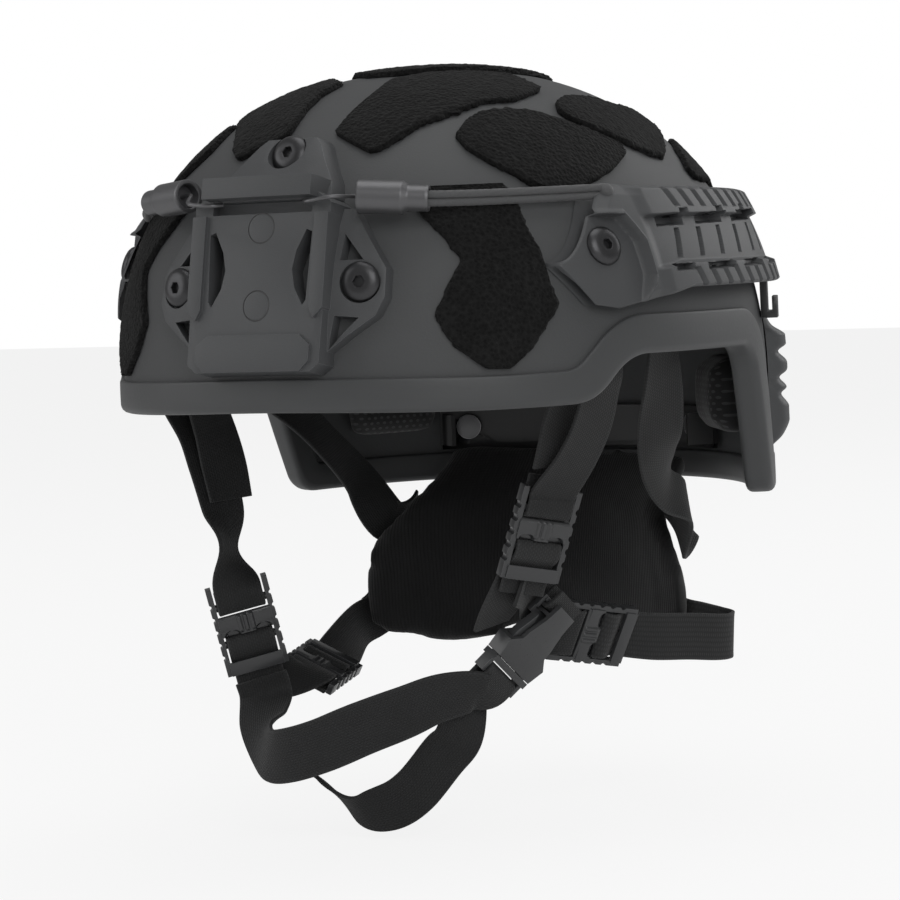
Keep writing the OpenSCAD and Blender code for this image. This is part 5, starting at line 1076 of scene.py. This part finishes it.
path = threaded(F_RIGHT) + [(at(F_RIGHT, 0, 50, -1.7), F_RIGHT[1])]
first = webbing("junction_webbing_right", path, WEB_W, web_mid, parts=6, seed=11)
declare(first, WEB_W, "hung", ["lock_front_right"], "junction_right", body=None)
follow(first)
path = ([(at(F_RIGHT, 0, 42, -2.1), [-0.09, 0.04, -0.94]), ([-65.5, -39, -117], [0.4, -0.1, -0.9]),
         (at(G_RIGHT, 0, 1, WRAP_R), G_RIGHT[1])]
        + wrap(G_RIGHT, HINGE_L, 1) + [(at(G_RIGHT, 0, 2, -WRAP_R), G_RIGHT[1])])
second = webbing("junction_leg_right", path, WEB_W, web_dark, seed=12)
declare(second, WEB_W, "hung", ["lock_rear_right", "junction_webbing_right"], "junction_right")

# The nape straps turn round the low bars of the rear locks and run back round the pad's sides.
path = (threaded(G_LEFT) + [(p, [-0.15, 0, -1]) for p in ([72, 36, -108], [80, 52, -110], [86, 65, -112])]
        + [([88, 73, -112.5], [-0.1, 0, -1]), ([86, 77.5, -112], [-0.05, 0, -1]),
           ([80, 76, -110.5], [0, 0, -1]),
           (nape_at(70, -104, -OFF_PAD - 1.2), [0, 0, -1]), (nape_at(58, -103, -OFF_PAD - 0.9), [0, 0, -1])])
strap = webbing("nape_webbing_left", path, WEB_W, web_ribbed, seed=13)
declare(strap, WEB_W, "hung", ["lock_rear_left", "nape_pad"], "nape_strap_left", body=None)
follow(strap)
path = (threaded(G_RIGHT) + [([-76, 26, -115], [0.6, 0.2, -0.75]), ([-86, 56, -110], [0.2, 0.1, -0.95]),
                             ([-84.5, 68, -107], [-0.05, 0, -1]),
                             (nape_at(-69, -105, -OFF_PAD - 1.4), [0.05, 0, -1]),
                             (nape_at(-57, -104, -OFF_PAD - 0.6), [0.05, 0, -1])])
strap = webbing("nape_webbing_right", path, WEB_W, web_dark, seed=14)
declare(strap, WEB_W, "hung", ["lock_rear_right", "nape_pad"], "nape_strap_right", body=None)
follow(strap)

# The chin strap turns round the bar of the buckle's plug and crosses under the chin to the right junction. Its tail
# hangs below it in a loop.
BUCKLE_T, LOOP_R, PLUG_BAR, BAR_S = 8.0, 1.1 + 0.4 + WEB_T / 2, 7.0, 29.5
chin_r = BAR_R + 0.4 + WEB_T / 2
w = BUCKLE[1]
path = ([(buckle_at(20, 0, -chin_r - 0.6), -w), (buckle_at(13, 0, -chin_r), -w)]
        + [(buckle_at(PLUG_BAR - chin_r * math.sin(a), 0, chin_r * math.cos(a)), -w)
           for a in np.radians([180, 135, 90, 45, 0])]
        + [(buckle_at(13, 0, chin_r - 0.2), -w), ([30.5, -47.8, -119.4], [-0.05, -0.7, 0.7]),
           ([20, -57, -121], [-0.1, -0.5, 0.85]),
           ([8, -64, -126], [-0.15, -0.3, 0.93]), ([-8, -71, -132], [-0.2, -0.14, 0.97]),
           ([-24, -76, -138.5], [-0.22, 0, 0.97]),
           ([-38, -79, -142.5], [-0.2, 0.05, 0.97]), ([-49, -76, -143.5], [0.05, 0.1, 0.97]),
           ([-58, -67, -139.5], [0.4, 0.1, 0.9]),
           ([-64, -57, -132], [0.7, 0.45, 0.45]), (at(F_RIGHT, 0, 50, 0.75), -F_RIGHT[1]),
           (at(F_RIGHT, 0, 42, 0.55), -F_RIGHT[1])])
strap = webbing("chin_webbing", path, CHIN_W, chin_web, ripple=0.12, seed=15)
declare(strap, CHIN_W, "hung", ["buckle_plug", "junction_webbing_right"], "chin_strap", body=None)
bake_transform(strap)
path = [(buckle_at(18, 0, -chin_r - 5.8), [-0.1, -0.8, 0.58]), ([23.3, -41.5, -127.8], [-0.4, -0.72, 0.45]),
        ([20, -42.5, -139.5], [-0.68, -0.55, 0.4]), ([13, -43.5, -147], [-0.72, -0.3, 0.6]),
        ([2, -48, -160.5], [-0.5, -0.15, 0.8]),
        ([-8, -52, -167], [-0.25, -0.2, 0.95]), ([-20, -56, -168], [-0.05, -0.6, 0.75]),
        ([-31, -58, -160.5], [0.2, -0.85, 0.4]),
        ([-39, -61, -153], [0.2, -0.85, 0.45]), ([-45, -67, -146.5], [0.2, -0.75, 0.6])]
tail = webbing("chin_tail", path, CHIN_W - 2, chin_web, ripple=0.12, seed=16)
declare(tail, CHIN_W - 2, "hung", ["chin_webbing"], "chin_strap_under", body=None)
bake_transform(tail)
loop_n = -BUCKLE_T / 2 + 1.9
path = ([(buckle_at(-36, 0, loop_n + LOOP_R), BUCKLE[1])]
        + [(buckle_at(-BAR_S + LOOP_R * math.sin(a), 0, loop_n + LOOP_R * math.cos(a)), BUCKLE[1])
           for a in np.radians([0, 45, 90, 135, 180])]
        + [(buckle_at(-36, 0, loop_n - LOOP_R), BUCKLE[1])])
loop = webbing("socket_webbing", path, WEB_W - 2, web_mid, parts=6, seed=17)
declare(loop, WEB_W - 2, "folded", ["buckle_socket"], "socket_loop")

# The four ladder locks and the buckle are glossy black acetal with rounded edges. Each lock has
# two rails with finger notches, two bars and two flat bridges; its webbing turns round the bars.
acetal = plain_finish("black_acetal", (0.045, 0.046, 0.048), 0.22, 0.05, 0.05, 0.0006, 0.00003, coat=0.3)
LOCKS = {"front_left": F_LEFT, "front_right": F_RIGHT, "rear_left": G_LEFT, "rear_right": G_RIGHT}
for corner in LOCKS:
    dressed(f"ladder_lock_{corner}", f"lock_{corner}", acetal, 0.5, f"adjuster_{corner}")


def bridge(f, body, name):
    """Cross plate of a lock between its rails, as a height over width x and length l: a crowned face,
    three raised ribs in the middle and two round notches in the lower edge."""
    x, l = np.meshgrid(np.linspace(-11.0, 11.0, 67), np.linspace(12.9, 21.4, 40), indexing="xy")
    top = 3.1 - 0.004 * x ** 2 - 0.5 * np.clip((13.8 - l) / 0.9, 0, 1) ** 2
    ribs = np.max([ramp(0.75 - np.abs(x - middle), 0.5) for middle in (-2.6, 0.0, 2.6)],
                  0) * ramp(l - 13.6, 0.8) * ramp(20.4 - l, 0.8)
    notch = np.max([ramp(2.5 - np.hypot((x - middle) / 1.25, l - 21.6), 0.5) for middle in (-6.6, 6.6)], 0)
    top = top + 0.7 * ribs - 1.9 * notch
    grid = [f[0] + f[1] * x[..., None] + f[2] * l[..., None] + f[3] * n[..., None]
            for n in (top, top * 0 + 0.9)]
    plate = surface(name, np.concatenate([grid[0][:, ::-1], grid[1]], 1), acetal, wrap=(False, True),
                    closed=True, smooth=40)
    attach(plate, body)


for corner, f in LOCKS.items():
    bridge(f, f"adjuster_{corner}", f"lock_bridge_{corner}")
buckle_face = plain_finish("buckle_face", (0.052, 0.053, 0.055), 0.30, 0.05, 0.05, 0.0006, 0.00003, coat=0.25)
dressed("buckle_socket_shell", "buckle_socket", buckle_face, 0.7, "helmet")
dressed("buckle_plug_prongs", "buckle_plug", buckle_face, 0.5, "plug")
bracket_nylon = plain_finish("bracket_nylon", (0.020, 0.020, 0.021), 0.34, 0.05, 0.06, 0.0006, 0.00004,
                             coat=0.1)
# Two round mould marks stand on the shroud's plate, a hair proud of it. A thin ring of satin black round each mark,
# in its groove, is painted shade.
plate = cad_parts["front_shroud"].data
plate = BVHTree.FromPolygons([v.co for v in plate.vertices], [p.vertices for p in plate.polygons])
for number, height in enumerate((70, 41)):
    spot, normal = plate.ray_cast((0, -0.3, height * MM), (0, 1, 0))[:2]
    mark = turned(f"mould_mark_{number}", [(0, 0.16), (5.2, 0.16), (5.42, 0.12), (5.5, 0), (5.5, -1),
                                           (0, -1)],
                  np.array(spot) / MM, np.array(normal), hard_nylon, parts=72)
    # Painted shade: a dark ring where the groove round the mark is.
    groove_shade = turned(f"mould_groove_shade_{number}", [(5.5, 0.1), (5.62, 0.13), (5.9, 0.12), (6.0, 0), (5.9, -0.5),
                                             (5.5, -0.5), (5.5, 0.1)],
                  np.array(spot) / MM, np.array(normal), satin_black, parts=72)
    for piece in (mark, groove_shade):
        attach(piece, "helmet")
dressed("rear_tray", "rear_bracket", bracket_nylon, 0.5, "helmet")

# The liner pads are foam covered in black spacer mesh with rows of small pale pores. They are held
# on the shell's inner wall. Cloth simulation puffs their inner sides and rounds their corners.
PAD_TAPE, PAD_T = 0.3, 17.0
PAD_D = WALL_D - SOFT_GAP - LAYER_GAP - PAD_TAPE


def mesh_finish(name, shade, pore, pitch):
    """Spacer mesh: on the angle round the helmet times 105 mm and on the height, pores stand in rows,
    every second row half a pitch on, and each pore is a round spot of the paler tone."""
    made = bpy.data.materials.new(name)
    tree = fresh(made)
    sum_of = sums(tree)
    place = add(tree, "TexCoord", {}).outputs["Object"]
    parts = add(tree, "SeparateXYZ", {0: place})
    across = sum_of("MULTIPLY", sum_of("ARCTAN2", parts.outputs[1], parts.outputs[0]), 105 / pitch)
    height = sum_of("MULTIPLY", parts.outputs[2], 1000 / pitch / 0.87)
    row = sum_of("FLOOR", height)
    shifted = sum_of("MULTIPLY_ADD", sum_of("MODULO", row, 2.0), 0.5, across)
    x = sum_of("SUBTRACT", sum_of("FRACT", shifted), 0.5)
    y = sum_of("SUBTRACT", sum_of("SUBTRACT", height, row), 0.5)
    gap = sum_of("SQRT", sum_of("ADD", sum_of("MULTIPLY", x, x), sum_of("MULTIPLY", y, y)))
    spot = add(tree, "MapRange", {"Value": gap, "From Min": 0.20, "From Max": 0.30, "To Min": 1.0,
                                  "To Max": 0.0}).outputs[0]
    patches = add(tree, "TexNoise", {"Vector": place, "Scale": 60.0, "Detail": 4.0}).outputs["Fac"]
    tone = sum_of("MULTIPLY", sum_of("MULTIPLY_ADD", spot, pore, 1.0),
                  sum_of("MULTIPLY_ADD", patches, 0.6, 0.7))
    paint = add(tree, "VectorMath", {0: tuple(shade), "Scale": tone}, operation="SCALE")
    covered(tree, paint.outputs[0], 0.9, sum_of("SUBTRACT", 1.0, spot), 0.6, 0.0003, {"Sheen Weight": 0.2})
    return made


spacer_mesh = mesh_finish("spacer_mesh", (0.014, 0.014, 0.0145), 2.6, 2.9)


def thinned(u, v, long_side, short_side, roll):
    """Thickness share of a pad: a quarter ellipse over roll millimetres from the nearest edge."""
    edge = np.minimum(np.minimum(u, 1 - u) * long_side, np.minimum(v, 1 - v) * short_side)
    return np.sqrt(1 - (1 - np.clip(edge / roll, 0, 1)) ** 2)


def filled(name, grid, material, cap, cell=5.0, held=None, pressure=4.0):
    """Padded piece: its closed surface is remeshed into even cells and blown up as cloth for 20 frames,
    each point moves at most cap millimetres, and one subdivision rounds it. Points within a
    millimetre and a half of the held grid stay where they are."""
    piece = surface(name, grid, material, wrap=(False, True), closed=True, smooth=80)
    cells = piece.modifiers.new("cells", "REMESH")
    cells.mode, cells.voxel_size = "VOXEL", cell * MM
    deps = bpy.context.evaluated_depsgraph_get()
    mesh = bpy.data.meshes.new_from_object(piece.evaluated_get(deps))
    old = piece.data
    piece.modifiers.clear()
    piece.data = mesh
    bpy.data.meshes.remove(old)
    start = np.empty(len(mesh.vertices) * 3)
    mesh.vertices.foreach_get("co", start)
    start = start.reshape(-1, 3)
    cloth = piece.modifiers.new("fill", "CLOTH")
    cloth.settings.quality = 6
    cloth.settings.effector_weights.gravity = 0
    cloth.settings.use_pressure = True
    cloth.settings.uniform_pressure_force = pressure
    cloth.settings.tension_stiffness = 30
    cloth.settings.compression_stiffness = 30
    if held is not None:
        anchors = np.asarray(held, float).reshape(-1, 3) * MM
        near = np.array([np.min(((anchors - p) ** 2).sum(-1)) < (1.5 * MM) ** 2 for p in start])
        group = piece.vertex_groups.new(name="held")
        group.add(np.nonzero(near)[0].tolist(), 1.0, "REPLACE")
        cloth.settings.vertex_group_mass = "held"
    scene = bpy.context.scene
    for number in range(1, 21):
        scene.frame_set(number)
    deps = bpy.context.evaluated_depsgraph_get()
    blown = piece.evaluated_get(deps).to_mesh()
    end = np.empty(len(blown.vertices) * 3)
    blown.vertices.foreach_get("co", end)
    piece.evaluated_get(deps).to_mesh_clear()
    piece.modifiers.clear()
    piece.vertex_groups.clear()
    scene.frame_set(1)
    move = end.reshape(-1, 3) - start
    far = np.linalg.norm(move, axis=-1, keepdims=True)
    start = start + move * np.minimum(1, cap * MM / np.maximum(far, 1e-9))
    mesh.vertices.foreach_set("co", start.reshape(-1).astype(np.float32))
    mesh.update()
    finer = piece.modifiers.new("finer", "SUBSURF")
    finer.levels = finer.render_levels = 1
    deps = bpy.context.evaluated_depsgraph_get()
    fine = bpy.data.meshes.new_from_object(piece.evaluated_get(deps))
    piece.modifiers.clear()
    old, piece.data = piece.data, fine
    bpy.data.meshes.remove(old)
    fine.name = name
    fine.materials.clear()
    fine.materials.append(material)
    fine.polygons.foreach_set("use_smooth", np.ones(len(fine.polygons), bool))
    return piece


def liner_pad(name, node, place, long_side, short_side, deep, mirrored=False, corner=9.0):
    """Pad on the inner wall: place(u, v, d) gives the points of its inner side, then of its wall side."""
    u, v = rounded_square(30, 30, long_side, short_side, corner)
    share = thinned(u, v, long_side, short_side, 9.0)
    inner = place(u, v, PAD_D - deep - (PAD_T - deep - 1.5) * (0.12 + 0.88 * share))
    outer = place(u, v, PAD_D - deep + 0 * u)
    inner, outer = inner.transpose(1, 0, 2), outer.transpose(1, 0, 2)
    grid = np.concatenate([inner, outer[:, ::-1]], 1)
    if mirrored:
        grid, outer = grid[:, ::-1] * [-1, 1, 1], outer * [-1, 1, 1]
    pad = filled(name, grid, spacer_mesh, 1.8, held=outer)
    placed(pad, "helmet", node)
    return pad


def pad_place(th0, th1, ph0, ph1):
    """Place function of a pad between two plan angles and two rise angles."""
    return lambda u, v, d: dome(th0 + (th1 - th0) * u, ph0 + (ph1 - ph0) * v, d)


def crown_pad_place(u, v, d):
    """Point of the crown pad: a disc of radius 60 from the square, lifted to the dome's top."""
    a, b = 2 * u - 1, 2 * v - 1
    x, y = 60 * a, 4 + 60 * b
    k = ((np.abs(x) / (B_WID + d)) ** PLAN_POWER
         + (np.abs(y) / (A_LEN + d)) ** PLAN_POWER) ** (1 / PLAN_POWER)
    q = arch_power(y / (A_LEN + d) / np.maximum(np.hypot(x / (B_WID + d), y / (A_LEN + d)), 0.001))
    return np.stack([x, y, (CROWN_H + d) * (1 - k ** q) ** (1 / q)], -1)


def arc_size(place):
    """Length and height of a pad along its middle lines, in millimetres."""
    t = np.linspace(0, 1, 20)
    level, upright = place(t, t * 0 + 0.5, PAD_D + 0 * t), place(t * 0 + 0.5, t, PAD_D + 0 * t)
    return [float(np.linalg.norm(np.diff(p, axis=0), axis=-1).sum()) for p in (level, upright)]


for name, node, place, deep, mirrored in (
        ("liner_front", "pad_front", pad_place(-114, -66, 9, 38), 0.0, False),
        ("liner_back", "pad_back", pad_place(67, 113, 6, 38), 0.0, False),
        ("liner_side_left", "pad_side_left", pad_place(7, 28, 14, 34), 0.9, False),
        ("liner_side_right", "pad_side_right", pad_place(7, 28, 14, 34), 0.9, True),
        ("liner_rear_left", "pad_rear_left", pad_place(33, 53, -14, 3), 0.0, False),
        ("liner_rear_right", "pad_rear_right", pad_place(33, 53, -14, 3), 0.0, True)):
    long_side, short_side = arc_size(place)
    liner_pad(name, node, place, long_side, short_side, deep, mirrored)
liner_pad("liner_crown", "pad_crown", crown_pad_place, 120.0, 120.0, 0.0, corner=58.0)

# The nape pad is a curved foam sheet with a knitted black cover, wider below, that stands behind
# the neck between the straps' ends. Its edge is rolled, and its lower edge dips on the right.
NAPE_W = 78.0


def knit_finish(name, shade):
    """Fine upright knit: ribs 1.3 mm apart across x, broken by a finer sine up z, over soft patches; the tone is
    darker where the knit is low, a painted shade in its grooves.
    """
    made = bpy.data.materials.new(name)
    tree = fresh(made)
    sum_of = sums(tree)
    place = add(tree, "TexCoord", {}).outputs["Object"]
    parts = add(tree, "SeparateXYZ", {0: place})
    rib = sum_of("ABSOLUTE", sum_of("SINE", sum_of("MULTIPLY", parts.outputs[0], 1000 * math.pi / 1.3)))
    loop = sum_of("ABSOLUTE", sum_of("SINE", sum_of("MULTIPLY", parts.outputs[2], 1000 * math.pi / 1.1)))
    patches = add(tree, "TexNoise", {"Vector": place, "Scale": 45.0, "Detail": 5.0}).outputs["Fac"]
    height = sum_of("MULTIPLY", rib, sum_of("MULTIPLY_ADD", loop, 0.3, 0.7))
    # Painted shade: the tone is darker where the knit's relief is low.
    tone = sum_of("MULTIPLY", sum_of("MULTIPLY_ADD", height, 0.7, 0.6),
                  sum_of("MULTIPLY_ADD", patches, 0.8, 0.6))
    paint = add(tree, "VectorMath", {0: tuple(shade), "Scale": tone}, operation="SCALE")
    covered(tree, paint.outputs[0], 0.92, height, 0.6, 0.0003, {"Sheen Weight": 0.15})
    return made


nape_knit = knit_finish("nape_knit", (0.0085, 0.0085, 0.009))
nape_table = np.array([[-37, 58], [-39, 60], [-46, 60], [-58, 63], [-68, 70], [-79, 77.5], [-88, 80],
                       [-98, 79.5], [-106, 77]], float)
u, v = rounded_square(56, 44, 150.0, 78.0, 12.0)
u, v = 2 * u - 1, v
low = -108 - np.where(u < 0, 14, 4) * np.sin(np.radians(130 * np.abs(u))) ** 2
table = spline(nape_table, 6)
drop = np.arange(len(table)) / (len(table) - 1)
z_top = np.interp(v * 1.06, drop, table[:, 0])
half = np.interp(v * 1.06, drop, table[:, 1]) * NAPE_W / 80
half = half - 8 * smooth_step((v - 0.9) / 0.1)
z_here = z_top + (low + 106) * smooth_step((v - 0.45) / 0.55)
share = thinned((u + 1) / 2, v, 150.0, 78.0, 9.0)
neck = nape_at(u * half, z_here, (NAPE_T / 2 - 1.0) * (0.14 + 0.86 * share))
back = nape_at(u * half, z_here, -(NAPE_T / 2 - 1.0) * (0.14 + 0.86 * share))
grid = np.concatenate([neck.transpose(1, 0, 2), back.transpose(1, 0, 2)[:, ::-1]], 1)
pad = filled("nape_cushion", grid, nape_knit, 1.0, cell=4.5)
placed(pad, "helmet", "nape_pad")
